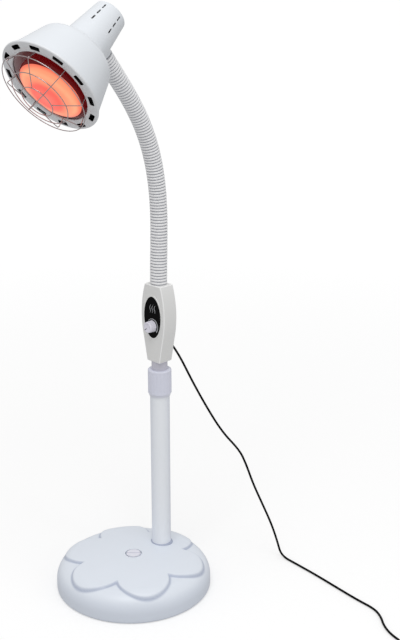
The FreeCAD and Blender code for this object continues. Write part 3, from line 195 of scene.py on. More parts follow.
def feed_surface(material, inputs):
    """Feeds the inputs of a material's surface."""
    feed(material.node_tree, material.node_tree.nodes["Principled BSDF"], inputs)


def ranged(tree, value, start, end, low=0.0, high=1.0, kind="SMOOTHSTEP"):
    """A value between start and end taken to one between low and high."""
    return node(tree, "ShaderNodeMapRange",
                {"Value": value, "From Min": start, "From Max": end, "To Min": low, "To Max": high},
                interpolation_type=kind).outputs["Result"]


def group_tree(name, kind, inputs, outputs):
    """Node group with sockets given as names and kinds: its tree, what it is given and its end."""
    tree = bpy.data.node_groups.new(name, kind)
    for way, sockets in (("INPUT", inputs), ("OUTPUT", outputs)):
        for socket, socket_kind in sockets.items():
            tree.interface.new_socket(socket, in_out=way, socket_type="NodeSocket" + socket_kind)
    return tree, tree.nodes.new("NodeGroupInput").outputs, tree.nodes.new("NodeGroupOutput")


def fine_grain():
    """Shader group: faint mottling of the colour, and the fine grain of a moulded or coated skin."""
    tree, given, result = group_tree(
        "fine_grain", "ShaderNodeTree",
        {"Color": "Color", "Roughness": "Float", "Mottle": "Float", "Grain scale": "Float"},
        {"Color": "Color", "Roughness": "Float", "Height": "Float"})
    place = node(tree, "ShaderNodeTexCoord").outputs["Object"]
    clouds = node(tree, "ShaderNodeTexNoise",
                  {"Vector": place, "Scale": CLOUD_SCALE, "Detail": CLOUD_DETAIL})
    grain = node(tree, "ShaderNodeTexNoise",
                 {"Vector": place, "Scale": given["Grain scale"], "Detail": GRAIN_DETAIL})
    spread = maths(tree, "SUBTRACT", clouds.outputs["Fac"], 0.5)
    amount = maths(tree, "MULTIPLY_ADD", spread, given["Mottle"], 1.0)
    mottled = node(tree, "ShaderNodeVectorMath", {0: given["Color"], "Scale": amount}, operation="SCALE")
    roughened = maths(tree, "MULTIPLY_ADD", spread, CLOUD_ROUGHENING, given["Roughness"])
    feed(tree, result, {"Color": mottled.outputs[0], "Roughness": roughened,
                        "Height": grain.outputs["Fac"]})
    return tree


GRAIN = fine_grain()


def skin(name, color, roughness, mottle, grain, metallic=0.0, coat=0.0, shine=0.5):
    """Material with the fine grain group: a moulded plastic, paint, rubber or metal.
    grain says how fine its grain is, per metre, and how deep, in metres."""
    grain_scale, grain_depth = grain
    material = bpy.data.materials.new(name)
    material.use_nodes = True
    tree = material.node_tree
    surface = node(tree, "ShaderNodeGroup", {"Color": color, "Roughness": roughness, "Mottle": mottle,
                                             "Grain scale": grain_scale}, node_tree=GRAIN).outputs
    bump = node(tree, "ShaderNodeBump", {"Height": surface["Height"], "Distance": grain_depth,
                                         "Strength": GRAIN_STRENGTH})
    feed_surface(material, {
        "Base Color": surface["Color"], "Roughness": surface["Roughness"],
        "Normal": bump.outputs["Normal"], "Metallic": metallic, "Coat Weight": coat,
        "Coat Roughness": COAT_ROUGHNESS, "Specular IOR Level": shine})
    return material


cord_pvc = skin("cord_pvc", linear(11, 11, 12),
                roughness=0.6, mottle=0.2, grain=(900.0, 0.00001), shine=0.1)


def polar(radius, degrees):
    """Point (x, y) at a distance and an angle about the origin."""
    angle = math.radians(degrees)
    return radius * math.cos(angle), radius * math.sin(angle)


def coil_points():
    """The coil's turns: a lower layer wound inwards and an upper layer wound outwards."""
    points = []
    total = COIL_TURNS_DOWN + COIL_TURNS_UP
    for step in range(1, int(total * COIL_POINTS) + 1):
        turn = step / COIL_POINTS
        inward = min(turn / COIL_TURNS_DOWN, 1.0)
        outward = max((turn - COIL_TURNS_DOWN) / COIL_TURNS_UP, 0.0)
        radius = COIL_OUTER + (COIL_INNER - COIL_OUTER) * (inward - outward)
        climb = min(max((turn - COIL_TURNS_DOWN) / COIL_CLIMB_TURNS + 0.5, 0.0), 1.0)
        points.append(COIL_CENTRE + Vector((*polar(radius, COIL_START - 360 * turn),
                                            ON_FLOOR + COIL_LAYER * climb)))
    return points


def nurbs_line(name, points):
    """Curve of one smooth open spline that starts and ends on its points."""
    curve = bpy.data.curves.new(name, "CURVE")
    curve.dimensions = "3D"
    spline = curve.splines.new("NURBS")
    spline.points.add(len(points) - 1)
    for control, place in zip(spline.points, points):
        control.co = (*place, 1.0)
    spline.order_u = CORD_CURVE_ORDER
    spline.use_endpoint_u = True
    spline.resolution_u = CORD_CURVE_STEPS
    return link(bpy.data.objects.new(name, curve))


def geometry_tree(name, **sizes):
    """Geometry nodes group that is given a geometry, its sizes and a material."""
    return group_tree(name, "GeometryNodeTree",
                      {"Geometry": "Geometry", **sizes, "Material": "Material"}, {"Geometry": "Geometry"})


def painted(tree, given, result, geometry):
    """Ends a tree with its geometry as one real mesh in the given material."""
    real = node(tree, "GeometryNodeRealizeInstances", {"Geometry": geometry})
    paint = node(tree, "GeometryNodeSetMaterial",
                 {"Geometry": real.outputs["Geometry"], "Material": given["Material"]})
    feed(tree, result, {"Geometry": paint.outputs["Geometry"]})
    return tree


def swept(tree, given, result, curve, radius, **thickness):
    """Ends a tree with a smooth round tube along a curve, closed at its ends."""
    section = node(tree, "GeometryNodeCurvePrimitiveCircle",
                   {"Radius": radius, "Resolution": given["Sides"]})
    tube = node(tree, "GeometryNodeCurveToMesh", {"Curve": curve, "Profile Curve": section.outputs["Curve"],
                                                  "Fill Caps": True, **thickness})
    smooth = node(tree, "GeometryNodeSetShadeSmooth", {"Geometry": tube.outputs["Mesh"]})
    return painted(tree, given, result, smooth.outputs["Geometry"])


def tube_tree():
    """Geometry nodes: a round tube of one thickness along lines of edges."""
    tree, given, result = geometry_tree("round_tube", Radius="Float", Sides="Int")
    line = node(tree, "GeometryNodeMeshToCurve", {"Mesh": given["Geometry"]})
    return swept(tree, given, result, line.outputs["Curve"], given["Radius"])


TUBE = tube_tree()


def shaped_by(piece, tree, **values):
    """Gives a piece a geometry nodes modifier with the values of its named inputs."""
    modifier = piece.modifiers.new(tree.name, "NODES")
    modifier.node_group = tree
    for item in tree.interface.items_tree:
        key = item.name.lower().replace(" ", "_")
        if item.in_out == "INPUT" and key in values:
            modifier[item.identifier] = values[key]


cord_points = [Vector(place) for place in CORD_ROUTE] + coil_points()
cord_points += [Vector(place) for place in TAIL_ROUTE]
cord_line = nurbs_line("cord_line", cord_points)
cord_path = [vertex.co.copy() for vertex in evaluated_mesh(cord_line).vertices]
bpy.data.objects.remove(cord_line)
cord = polyline("mains_cord", [cord_path])
shaped_by(cord, TUBE, radius=CORD_RADIUS, sides=CORD_SIDES, material=cord_pvc)
settled(cord)
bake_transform(cord)
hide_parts("cord_tube", "cord_coil", "cord_tail")


# ---- Plug ---------------------------------------------------------------------------------
# A flat two-pin plug, moulded onto the cord's end in black PVC. Its two round brass pins are a
# little thicker over their first half and rounded at their tips.
PLUG_STATIONS = [(0.0, 0.0042, 0.0042), (0.006, 0.0048, 0.0046), (0.012, 0.0075, 0.0058),
                 (0.017, 0.0125, 0.0064), (0.023, 0.0158, 0.0066), (0.031, 0.0168, 0.0066),
                 (0.0375, 0.0170, 0.0066), (0.0395, 0.0164, 0.0060), (0.0400, 0.0150, 0.0048)]
PLUG_SIDES = 40
PLUG_SQUARENESS = 0.42
PIN_SPACING = 0.0093
PIN_RADIUS = 0.002
PIN_START = 0.040
PIN_LENGTH = 0.019
PIN_SIDES = 20
# Shares of a pin's length and of its radius.
PIN_SHAPE = ((0.0, 1.0), (0.5, 1.0), (0.5, 0.93), (0.93, 0.93), (0.985, 0.7), (1.0, 0.3))


def mesh_piece(name, points, faces, *materials):
    """Smooth mesh piece of points and faces, in the scene."""
    mesh = bpy.data.meshes.new(name)
    mesh.from_pydata([tuple(point) for point in points], [], faces)
    for material in materials:
        mesh.materials.append(material)
    mesh.polygons.foreach_set("use_smooth", [True] * len(mesh.polygons))
    mesh.update()
    return link(bpy.data.objects.new(name, mesh))


def row_faces(rows, holes=(), turned_over=False):
    """Faces between rows of points that run round, with triangles where a row is one point and
    none in the holes, which are given as row and column."""
    faces = []
    for row, (low, high) in enumerate(zip(rows, rows[1:])):
        for at in range(len(low)):
            after = (at + 1) % len(low)
            others = (low[after], high[after], high[at])
            corners = tuple(dict.fromkeys((low[at], *(others[::-1] if turned_over else others))))
            if len(corners) > 2 and (row, at) not in holes:
                faces.append(corners)
    return faces


def lofted(name, rings, material):
    """Skin over rings of points, with a face across each end."""
    sides = len(rings[0])
    points = [point for ring in rings for point in ring]
    rows = [range(start, start + sides) for start in range(0, len(points), sides)]
    ends = [tuple(reversed(rows[0])), tuple(rows[-1])]
    return mesh_piece(name, points, row_faces(rows) + ends, material)


def crisp(piece, degrees=35):
    """Smooth shading with sharp edges where the surface turns by more than an angle."""
    piece.data.set_sharp_from_angle(angle=math.radians(degrees))
    return piece


def circle(radius, sides):
    """Points (x, y) evenly spaced on a circle about the origin."""
    angles = [2 * math.pi * step / sides for step in range(sides)]
    return [(radius * math.cos(angle), radius * math.sin(angle)) for angle in angles]


plug_end = Vector(TAIL_ROUTE[-1])
plug_way = (plug_end - Vector(TAIL_ROUTE[-2])).normalized()
plug_turn = math.atan2(plug_way.y, plug_way.x)
PLUG_FRAME = Matrix.Translation(plug_end) @ Matrix.Rotation(plug_turn, 4, "Z")


def plug_ring(along, half_width, half_height):
    """Rounded rectangular section of the plug."""
    return [(along, half_width * math.copysign(abs(x) ** PLUG_SQUARENESS, x),
             half_height * math.copysign(abs(y) ** PLUG_SQUARENESS, y)) for x, y in circle(1.0, PLUG_SIDES)]


plug = lofted("plug", [plug_ring(*station) for station in PLUG_STATIONS], cord_pvc)
plug.data.transform(PLUG_FRAME)
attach(plug, "collet")
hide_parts("plug_body")

pin_brass = skin("pin_brass", linear(196, 168, 110),
                 roughness=0.25, mottle=0.1, grain=(1500.0, 0.00002), metallic=1.0)


def pin_rings(side):
    """Sections of one pin beside the plug's middle."""
    return [[(PIN_START + PIN_LENGTH * along, side * PIN_SPACING + x, y)
             for x, y in circle(PIN_RADIUS * width, PIN_SIDES)] for along, width in PIN_SHAPE]


for side, word in ((-1, "left"), (1, "right")):
    pin = lofted("plug_pin_" + word, pin_rings(side), pin_brass)
    pin.data.transform(PLUG_FRAME)
    crisp(pin)
    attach(pin, "collet")
    if side == 1:
        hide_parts("plug_pins")


# ---- Strain relief ------------------------------------------------------------------------
# A tapered black rubber sleeve where the cord leaves the box, let into the box's back wall. It
# is grooved round its outside so that it bends evenly.
RELIEF_ROOT = Vector((0.0, 0.0950, 0.510))
RELIEF_TILT = math.radians(52.0)
RELIEF_LENGTH = 0.024
RELIEF_WIDE = 0.0058
RELIEF_NARROW = 0.0033
RELIEF_SUNK = 0.006
RELIEF_PLAIN = 0.002
RELIEF_RIBS = 6
RELIEF_GROOVE = 0.0007
RELIEF_RIB_SHAPE = ((0.0, 0.0), (0.55, 0.0), (0.62, RELIEF_GROOVE), (0.93, RELIEF_GROOVE))
TINY = 1e-6


def facing(place, way):
    """Frame at a place, with Z along a way."""
    return Matrix.Translation(place) @ way.to_track_quat("Z", "X").to_matrix().to_4x4()


RELIEF_FRAME = facing(RELIEF_ROOT, Vector((0.0, math.cos(RELIEF_TILT), -math.sin(RELIEF_TILT))))


def numbered(rings):
    """All points of some rings about Z and each ring's row of numbers. A ring on the axis is one
    point."""
    points, rows = [], []
    for ring in rings:
        if math.hypot(ring[0][0], ring[0][1]) < TINY:
            rows.append([len(points)] * len(ring))
            points.append((0.0, 0.0, ring[0][2]))
        else:
            rows.append(range(len(points), len(points) + len(ring)))
            points += ring
    return points, rows


def turned(name, profile, material, sides=96, place=Matrix.Identity(4)):
    """Skin turned about Z from (radius, height) pairs; a radius of 0 closes it in one point."""
    points, rows = numbered([[(x, y, height) for x, y in circle(radius, sides)]
                             for radius, height in profile])
    return mesh_piece(name, [place @ Vector(point) for point in points], row_faces(rows), material)


def relief_profile():
    """Taper with grooves between its ribs."""
    profile = [(0.0, -RELIEF_SUNK), (RELIEF_WIDE, -RELIEF_SUNK), (RELIEF_WIDE, RELIEF_PLAIN)]
    for rib in range(RELIEF_RIBS):
        for share, groove in RELIEF_RIB_SHAPE:
            along = (rib + share) / RELIEF_RIBS
            radius = RELIEF_WIDE + (RELIEF_NARROW - RELIEF_WIDE) * along
            profile.append((radius - groove, RELIEF_PLAIN + (RELIEF_LENGTH - RELIEF_PLAIN) * along))
    return profile + [(RELIEF_NARROW, RELIEF_LENGTH), (0.0, RELIEF_LENGTH)]


relief = crisp(turned("strain_relief", relief_profile(), cord_pvc, sides=32, place=RELIEF_FRAME))
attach(relief, "mast")
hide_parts("cord_strain_relief")


# ---- Base ---------------------------------------------------------------------------------
# A hollow moulded base filled with sand. Its low dome carries a raised six-petal relief whose
# edge is softly rounded, and it rolls over into an upright side. Painted shade makes the plastic
# bluer-grey in the creases and on the side, and the ring that closes the foot of the pole darker.
BASE_RADIUS = 0.156
BASE_CROWN = 0.063
BASE_DROP = 0.0117
BASE_EDGE_ROUND = 0.036
BASE_FOOT_ROUND = 0.005
BASE_FOOT_HEIGHT = 0.010
BASE_SIDE_ANGLE = 0.1
BASE_DOME_STEPS = 100
BASE_EDGE_STEPS = 26
BASE_SPOKES = 600
RELIEF_HEIGHT = 0.004
RELIEF_SOFT = 0.0016
CREASE_REACH = 0.0034
CREASE_OUTSIDE = 0.6 * RELIEF_SOFT
FAR_OUTSIDE = -1.0
SIDE_SHADE = 0.24
SIDE_SHADE_REACH = 0.012
PETALS = 6
PETAL_RADIUS = 0.0513
PETAL_CENTRE = 0.0937
PETAL_BLEND = 0.005
POLE_Y = 0.078
POLE_RADIUS = 0.0195
FOOT_RING_TOP = 0.0672
# Out from the pole and down from the ring's top.
FOOT_RING_SHAPE = ((0.0, 0.008), (0.0044, 0.008), (0.0038, 0.0036), (0.0012, 0.0003), (0.0004, 0.0),
                   (0.0, 0.0), (0.0, 0.008))
FILLER_BORE = 0.010
FILLER_BOTTOM = 0.0465
FILLER_RECESS = 0.017
FILLER_DEPTH = 0.0045


def blended(material, factor, **ends):
    """Blends a material's colour, by a factor, with another given as A for 0 or as B for 1."""
    tree = material.node_tree
    own = tree.nodes["Group"].outputs["Color"]
    mix = node(tree, "ShaderNodeMix", {"Factor": factor, "A": own, "B": own, **ends}, data_type="RGBA")
    feed_surface(material, {"Base Color": mix.outputs["Result"]})


base_plastic = skin("base_plastic_creased", linear(230, 236, 245),
                    roughness=0.38, mottle=0.02, grain=(800.0, 0.00004))
# Painted shade: the plastic turns bluer-grey along the relief's creases and on the upright side.
crease_shade_near = node(base_plastic.node_tree, "ShaderNodeAttribute", attribute_name="crease")
blended(base_plastic, crease_shade_near.outputs["Fac"], B=linear(180, 189, 209))


def rounded_path(corners, rounds, steps=8):
    """Path through (radius, height) corners, each rounded by its own radius."""
    path = []
    for index, (corner, radius) in enumerate(zip(corners, rounds)):
        here = Vector(corner)
        if radius == 0 or index in (0, len(corners) - 1):
            path.append(tuple(here))
            continue
        back = (Vector(corners[index - 1]) - here).normalized()
        ahead = (Vector(corners[index + 1]) - here).normalized()
        half = back.angle(ahead) / 2
        centre = here + (back + ahead).normalized() * (radius / math.sin(half))
        start = (here + back * (radius / math.tan(half)) - centre).normalized()
        end = (here + ahead * (radius / math.tan(half)) - centre).normalized()
        for step in range(steps + 1):
            path.append(tuple(centre + start.slerp(end, step / steps) * radius))
    return path


def spread_out(path, spacing):
    """The path with points added so that none are further apart than a spacing."""
    finer = [path[0]]
    for before, after in zip(path, path[1:]):
        length = math.dist(before, after)
        count = max(1, math.ceil(length / spacing))
        for step in range(1, count + 1):
            finer.append(tuple(a + (b - a) * step / count for a, b in zip(before, after)))
    return finer


def soft_step(value, width):
    """0 below -width, 1 above width, and a smooth rise between."""
    share = min(max((value + width) / (2 * width), 0.0), 1.0)
    return share * share * (3 - 2 * share)


def petal_depth(x, y):
    """How far a point lies inside the flower's outline, negative outside it."""
    nearest = PETAL_CENTRE * math.cos(math.pi / PETALS) - math.hypot(x, y)
    for petal in range(PETALS):
        angle = math.pi * (1 + 2 * petal) / PETALS
        depth = PETAL_RADIUS - math.hypot(x - PETAL_CENTRE * math.cos(angle),
                                          y - PETAL_CENTRE * math.sin(angle))
        mix = max(PETAL_BLEND - abs(depth - nearest), 0.0) / PETAL_BLEND
        nearest = max(depth, nearest) + mix * mix * PETAL_BLEND / 4
    return nearest


def base_path():
    """Half section of the base as (radius, height, whether the relief lifts it), from the middle
    of the filler's bore over the dome and round the side to the middle of the underside."""
    curve = (BASE_RADIUS ** 2 + BASE_DROP ** 2) / (2 * BASE_DROP)
    low = BASE_CROWN - curve
    roll = BASE_RADIUS - BASE_EDGE_ROUND
    roll_height = low + math.sqrt((curve - BASE_EDGE_ROUND) ** 2 - roll ** 2)
    meet = math.acos(roll / (curve - BASE_EDGE_ROUND))
    last = roll + BASE_EDGE_ROUND * math.cos(meet)
    floor_height = BASE_CROWN + RELIEF_HEIGHT - FILLER_DEPTH
    path = [(0.0, FILLER_BOTTOM, False), (FILLER_BORE, FILLER_BOTTOM, False),
            (FILLER_BORE, floor_height, False), (FILLER_RECESS, floor_height, False)]
    for step in range(BASE_DOME_STEPS + 1):
        radius = FILLER_RECESS + (last - FILLER_RECESS) * step / BASE_DOME_STEPS
        path.append((radius, low + math.sqrt(curve ** 2 - radius ** 2), True))
    for step in range(1, BASE_EDGE_STEPS + 1):
        angle = meet * (1 - step / BASE_EDGE_STEPS)
        path.append((roll + BASE_EDGE_ROUND * math.cos(angle),
                     roll_height + BASE_EDGE_ROUND * math.sin(angle), angle > BASE_SIDE_ANGLE))
    foot = rounded_path([(BASE_RADIUS, BASE_FOOT_HEIGHT), (BASE_RADIUS, 0.0), (0.0, 0.0)],
                        [0, BASE_FOOT_ROUND, 0])
    return path + [(radius, height, False) for radius, height in foot]


def base_skin():
    """Polar grid over the whole base, closed in its middle above and below."""
    rings, crease_shades = [], []
    for radius, height, lifted in base_path():
        side = soft_step(radius + SIDE_SHADE_REACH / 2 - BASE_RADIUS, SIDE_SHADE_REACH / 2)
        places = circle(radius, BASE_SPOKES)
        depths = [petal_depth(x, y) if lifted else FAR_OUTSIDE for x, y in places]
        rings.append([(x, y, height + RELIEF_HEIGHT * soft_step(depth, RELIEF_SOFT))
                      for (x, y), depth in zip(places, depths)])
        # Painted shade, strongest just outside the relief's edge and weaker over the upright side.
        crease_shades += [max(1 - abs(depth + CREASE_OUTSIDE) / CREASE_REACH, SIDE_SHADE * side)
                    for depth in (depths if radius > 0 else depths[:1])]
    points, rows = numbered(rings)
    piece = mesh_piece("base", points, row_faces(rows, turned_over=True), base_plastic)
    piece.data.attributes.new("crease", "FLOAT", "POINT").data.foreach_set("value", crease_shades)
    return crisp(piece, degrees=50)


base = base_skin()
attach(base, "base")
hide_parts("base_shell")

# Painted shade: the ring at the pole's foot is coloured darker than the base.
foot_plastic = skin("foot_plastic", linear(172, 180, 200),
                    roughness=0.45, mottle=0.02, grain=(800.0, 0.00004))
foot_profile = [(POLE_RADIUS + out, FOOT_RING_TOP - down) for out, down in FOOT_RING_SHAPE]
foot_place = Matrix.Translation((0, POLE_Y, 0))
foot = crisp(turned("pole_foot_ring", foot_profile, foot_plastic, place=foot_place), degrees=50)
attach(foot, "base")


def dress(material, *names):
    """Gives CAD nodes a finish in place of their plain one."""
    for name in names:
        for material_slot in frame["nodes"][name].material_slots:
            material_slot.material = material


sand = skin("sand", linear(196, 178, 140), roughness=0.95, mottle=0.5, grain=(1400.0, 0.0006))
seal_rubber = skin("seal_rubber", linear(34, 34, 36), roughness=0.7, mottle=0.3, grain=(900.0, 0.00008))
cap_plastic = skin("cap_plastic", linear(232, 232, 242),
                   roughness=0.35, mottle=0.02, grain=(800.0, 0.00003))
dress(sand, "base_ballast")
dress(seal_rubber, "filler_seal")
dress(cap_plastic, "filler_cap")


# ---- Poles and twist lock -----------------------------------------------------------------
# Two powder-coated steel tubes, one sliding in the other, bolted down from under the base. The
# sliding one is painted greyer as the shade under the box, and the lower one bluer-grey towards
# its outline as painted shade. A plastic fitting with a split collet closes the lower one, and a
# fluted nut squeezes it.
pole_paint = skin("pole_paint", linear(243, 246, 250), roughness=0.3, mottle=0.01, grain=(650.0, 0.000006))
# Painted shade: the lower pole turns bluer-grey where it turns away from the view, so its middle reads
# lighter.
pole_edge_shade = node(pole_paint.node_tree, "ShaderNodeLayerWeight")
blended(pole_paint, pole_edge_shade.outputs["Facing"], B=linear(224, 229, 241))
# Painted shade: the sliding pole is coloured greyer to stand in for the shade under the box.
mast_paint = skin("mast_paint", linear(200, 199, 210), roughness=0.3, mottle=0.01, grain=(650.0, 0.000006))
zinc_steel = skin("zinc_steel", linear(176, 178, 182),
                  roughness=0.32, mottle=0.15, grain=(1200.0, 0.00002), metallic=1.0)
fitting_plastic = skin("fitting_plastic", linear(224, 226, 236),
                       roughness=0.42, mottle=0.02, grain=(900.0, 0.00004))
collar_plastic = skin("collar_plastic", linear(222, 224, 238),
                      roughness=0.36, mottle=0.02, grain=(900.0, 0.00003))
dress(pole_paint, "lower_pole")
dress(mast_paint, "upper_pole")
dress(zinc_steel, "base_bolt", "base_washer")
dress(fitting_plastic, "pole_foot_plug", "pole_fitting", "collet", "pole_glide")
dress(collar_plastic, "lock_collar")


# ---- Dimmer box ---------------------------------------------------------------------------
# A barrel-shaped box in two moulded halves, screwed together from the back, with a painted
# highlight on its rounded edges. Inside it are the dimmer, its board and the gooseneck's nut.
BOX_BACK = 0.0950
SCREW_PLACES = ((-0.020, 0.582), (0.020, 0.582), (-0.0145, 0.500), (0.0145, 0.500))
SCREW_HEAD = 0.0028
SCREW_CROWN = 0.0006
SCREW_SUNK = 0.0009
SCREW_BOTTOM = -0.001
SCREW_CROSS = 0.0019
SCREW_CROSS_WIDTH = 0.00055
SCREW_CROSS_DEPTH = 0.0009
SCREW_CROSS_SOFT = 0.00012
SCREW_SIDES = 48
SCREW_RINGS = 19
SCREW_RING_STEP = 0.00014
EDGE_TURN_START = 0.97
EDGE_TURN_END = 0.80

box_plastic = skin("box_plastic", linear(229, 229, 228), roughness=0.4, mottle=0.02, grain=(900.0, 0.00004))
# Painted highlight: where the surface turns between its flat faces, the plastic is lighter.
box_tree = box_plastic.node_tree
box_facing = node(box_tree, "ShaderNodeTexCoord").outputs["Normal"]
box_sides = node(box_tree, "ShaderNodeVectorMath", {0: box_facing}, operation="ABSOLUTE").outputs[0]
box_turn = node(box_tree, "ShaderNodeSeparateXYZ", {"Vector": box_sides}).outputs
box_most = maths(box_tree, "MAXIMUM", maths(box_tree, "MAXIMUM", box_turn["X"], box_turn["Y"]),
                 box_turn["Z"])
box_edge_highlight = ranged(box_tree, box_most, EDGE_TURN_START, EDGE_TURN_END, kind="LINEAR")
blended(box_plastic, box_edge_highlight, B=linear(250, 250, 250))
dark_plastic = skin("dark_plastic", linear(40, 41, 44), roughness=0.5, mottle=0.2, grain=(900.0, 0.00004))
board_laminate = skin("board_laminate", linear(60, 104, 62),
                      roughness=0.45, mottle=0.3, grain=(500.0, 0.00005))
part_plastic = skin("part_plastic", linear(188, 132, 52), roughness=0.4, mottle=0.2, grain=(700.0, 0.00004))
dress(box_plastic, "box_front_shell", "box_back_shell")
dress(dark_plastic, "dimmer_body")
dress(zinc_steel, "dimmer_nut", "dimmer_shaft", "gooseneck_base_nut", "swivel_nut")
dress(board_laminate, "dimmer_board")
dress(part_plastic, "board_parts")


def screw_head():
    """Pan head with a cross recess, facing +Z."""
    rings = [SCREW_RING_STEP * ring for ring in range(1, SCREW_RINGS + 1)] + [SCREW_HEAD, SCREW_HEAD]
    points = [(0, 0, SCREW_CROWN - SCREW_CROSS_DEPTH)]
    for index, radius in enumerate(rings):
        for x, y in circle(radius, SCREW_SIDES):
            near, far = sorted((abs(x), abs(y)))
            inside = (soft_step(SCREW_CROSS_WIDTH - near, SCREW_CROSS_SOFT)
                      * soft_step(SCREW_CROSS - far, SCREW_CROSS_SOFT))
            height = SCREW_CROWN * (1 - (radius / SCREW_HEAD) ** 2) - SCREW_CROSS_DEPTH * inside
            points.append((x, y, SCREW_BOTTOM if index == len(rings) - 1 else height))
    rows = [[0] * SCREW_SIDES] + [range(start, start + SCREW_SIDES)
                                  for start in range(1, len(points), SCREW_SIDES)]
    faces = row_faces(rows, turned_over=True) + [tuple(reversed(rows[-1]))]
    return crisp(mesh_piece("screw_head", points, faces, zinc_steel), degrees=40)


def copies_tree():
    """Geometry nodes: a copy of one part on each point, all turned the same way."""
    tree, given, result = geometry_tree("copies_on_points", Part="Object", Turn="Rotation")
    part = node(tree, "GeometryNodeObjectInfo", {"Object": given["Part"]})
    copies = node(tree, "GeometryNodeInstanceOnPoints",
                  {"Points": given["Geometry"], "Instance": part.outputs["Geometry"],
                   "Rotation": given["Turn"]})
    return painted(tree, given, result, copies.outputs["Instances"])


COPIES = copies_tree()

screw = screw_head()
screws = polyline("screw_heads", [[(x, BOX_BACK - SCREW_SUNK, height) for x, height in SCREW_PLACES]])
shaped_by(screws, COPIES, part=screw, turn=(math.radians(-90), 0.0, 0.0), material=zinc_steel)
settled(screws)
bpy.data.objects.remove(screw)
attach(screws, "mast")
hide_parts("box_screws")


# ---- Dial plate and knob ------------------------------------------------------------------
# A gloss black oval plate let into the front, printed with a growing arc for the setting and
# the three waves of a heat sign. The white push-on knob has fine grip ribs and a pointer.
DIAL_HEIGHT = 0.5385
PLATE_FACE = 0.0606
ARC_INNER = 0.0137
ARC_LEAST = 0.0003
ARC_MOST = 0.0021
ARC_SPAN = 270.0
ARC_STEPS = 72
WAVE_PLACES = (-0.0062, 0.0, 0.0062)
WAVE_BOTTOM = 0.5650
WAVE_LENGTH = 0.0165
WAVE_SWING = 0.0013
WAVE_SWINGS = 1.25
WAVE_WIDTH = 0.0011
WAVE_THINNEST = 0.12
WAVE_STEPS = 24
PRINT_THICKNESS = 0.00012
KNOB_RADIUS = 0.0116
KNOB_TOP_RADIUS = 0.0107
KNOB_LENGTH = 0.014
KNOB_GAP = 0.0005
KNOB_SKIRT = 0.0008
KNOB_SIDE_SHARE = 0.84
KNOB_SIDE_STEPS = 8
KNOB_EDGE_ROUND = 0.0016
# Radius and depth below the knob's face.
KNOB_DISH = ((0.0081, 0.0), (0.0075, 0.0006), (0.004, 0.0009), (0.0, 0.0009))
KNOB_RIBS = 40
KNOB_RIB_SIDES = 6
KNOB_RIB_DEPTH = 0.00022
KNOB_RIB_START = 0.001
KNOB_RIB_END = 0.0112
KNOB_RIB_INSIDE = 0.0102
POINTER_START = 0.0035
POINTER_END = 0.0096
POINTER_HALF_WIDTH = 0.0004
POINTER_SUNK = 0.0012
POINTER_PROUD = 0.0001

plate_black = skin("plate_black", linear(5, 5, 6),
                   roughness=0.4, mottle=0.2, grain=(400.0, 0.00001), shine=0.05)
print_grey = skin("print_grey", linear(188, 190, 194), roughness=0.45, mottle=0.1, grain=(900.0, 0.00001))
knob_white = skin("knob_white", linear(232, 230, 242), roughness=0.32, mottle=0.02, grain=(900.0, 0.00002))
dress(plate_black, "dial_plate")


def strips(name, pairs, material):
    """Flat print between pairs of lines drawn as (across, up) on the plate's face."""
    points, faces = [], []
    for inner, outer in pairs:
        start = len(points)
        for (ax, az), (bx, bz) in zip(inner, outer):
            points += [(ax, PLATE_FACE, az), (bx, PLATE_FACE, bz)]
        for at in range(len(inner) - 1):
            low = start + 2 * at
            faces.append((low, low + 1, low + 3, low + 2))
    piece = mesh_piece(name, points, faces, material)
    thick = piece.modifiers.new("print_thickness", "SOLIDIFY")
    thick.thickness = PRINT_THICKNESS
    thick.offset = 0.0
    return settled(piece)


def setting_arc():
    """Inner and outer edge of the arc, which grows clockwise round the knob."""
    inner, outer = [], []
    for step in range(ARC_STEPS + 1):
        share = step / ARC_STEPS
        for edge, radius in ((inner, ARC_INNER),
                             (outer, ARC_INNER + ARC_LEAST + (ARC_MOST - ARC_LEAST) * share)):
            across, up = polar(radius, 90 + ARC_SPAN / 2 - ARC_SPAN * share)
            edge.append((across, DIAL_HEIGHT + up))
    return inner, outer


def heat_wave(across):
    """Left and right edge of one rising wave, thin at its ends."""
    left, right = [], []
    for step in range(WAVE_STEPS + 1):
        share = step / WAVE_STEPS
        middle = across + WAVE_SWING * math.sin(2 * math.pi * share * WAVE_SWINGS)
        half = WAVE_WIDTH / 2 * max(math.sin(math.pi * share), WAVE_THINNEST) ** 0.5
        height = WAVE_BOTTOM + WAVE_LENGTH * share
        left.append((middle - half, height))
        right.append((middle + half, height))
    return left, right


marks = strips("dial_marks", [setting_arc()] + [heat_wave(across) for across in WAVE_PLACES], print_grey)
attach(marks, "mast")


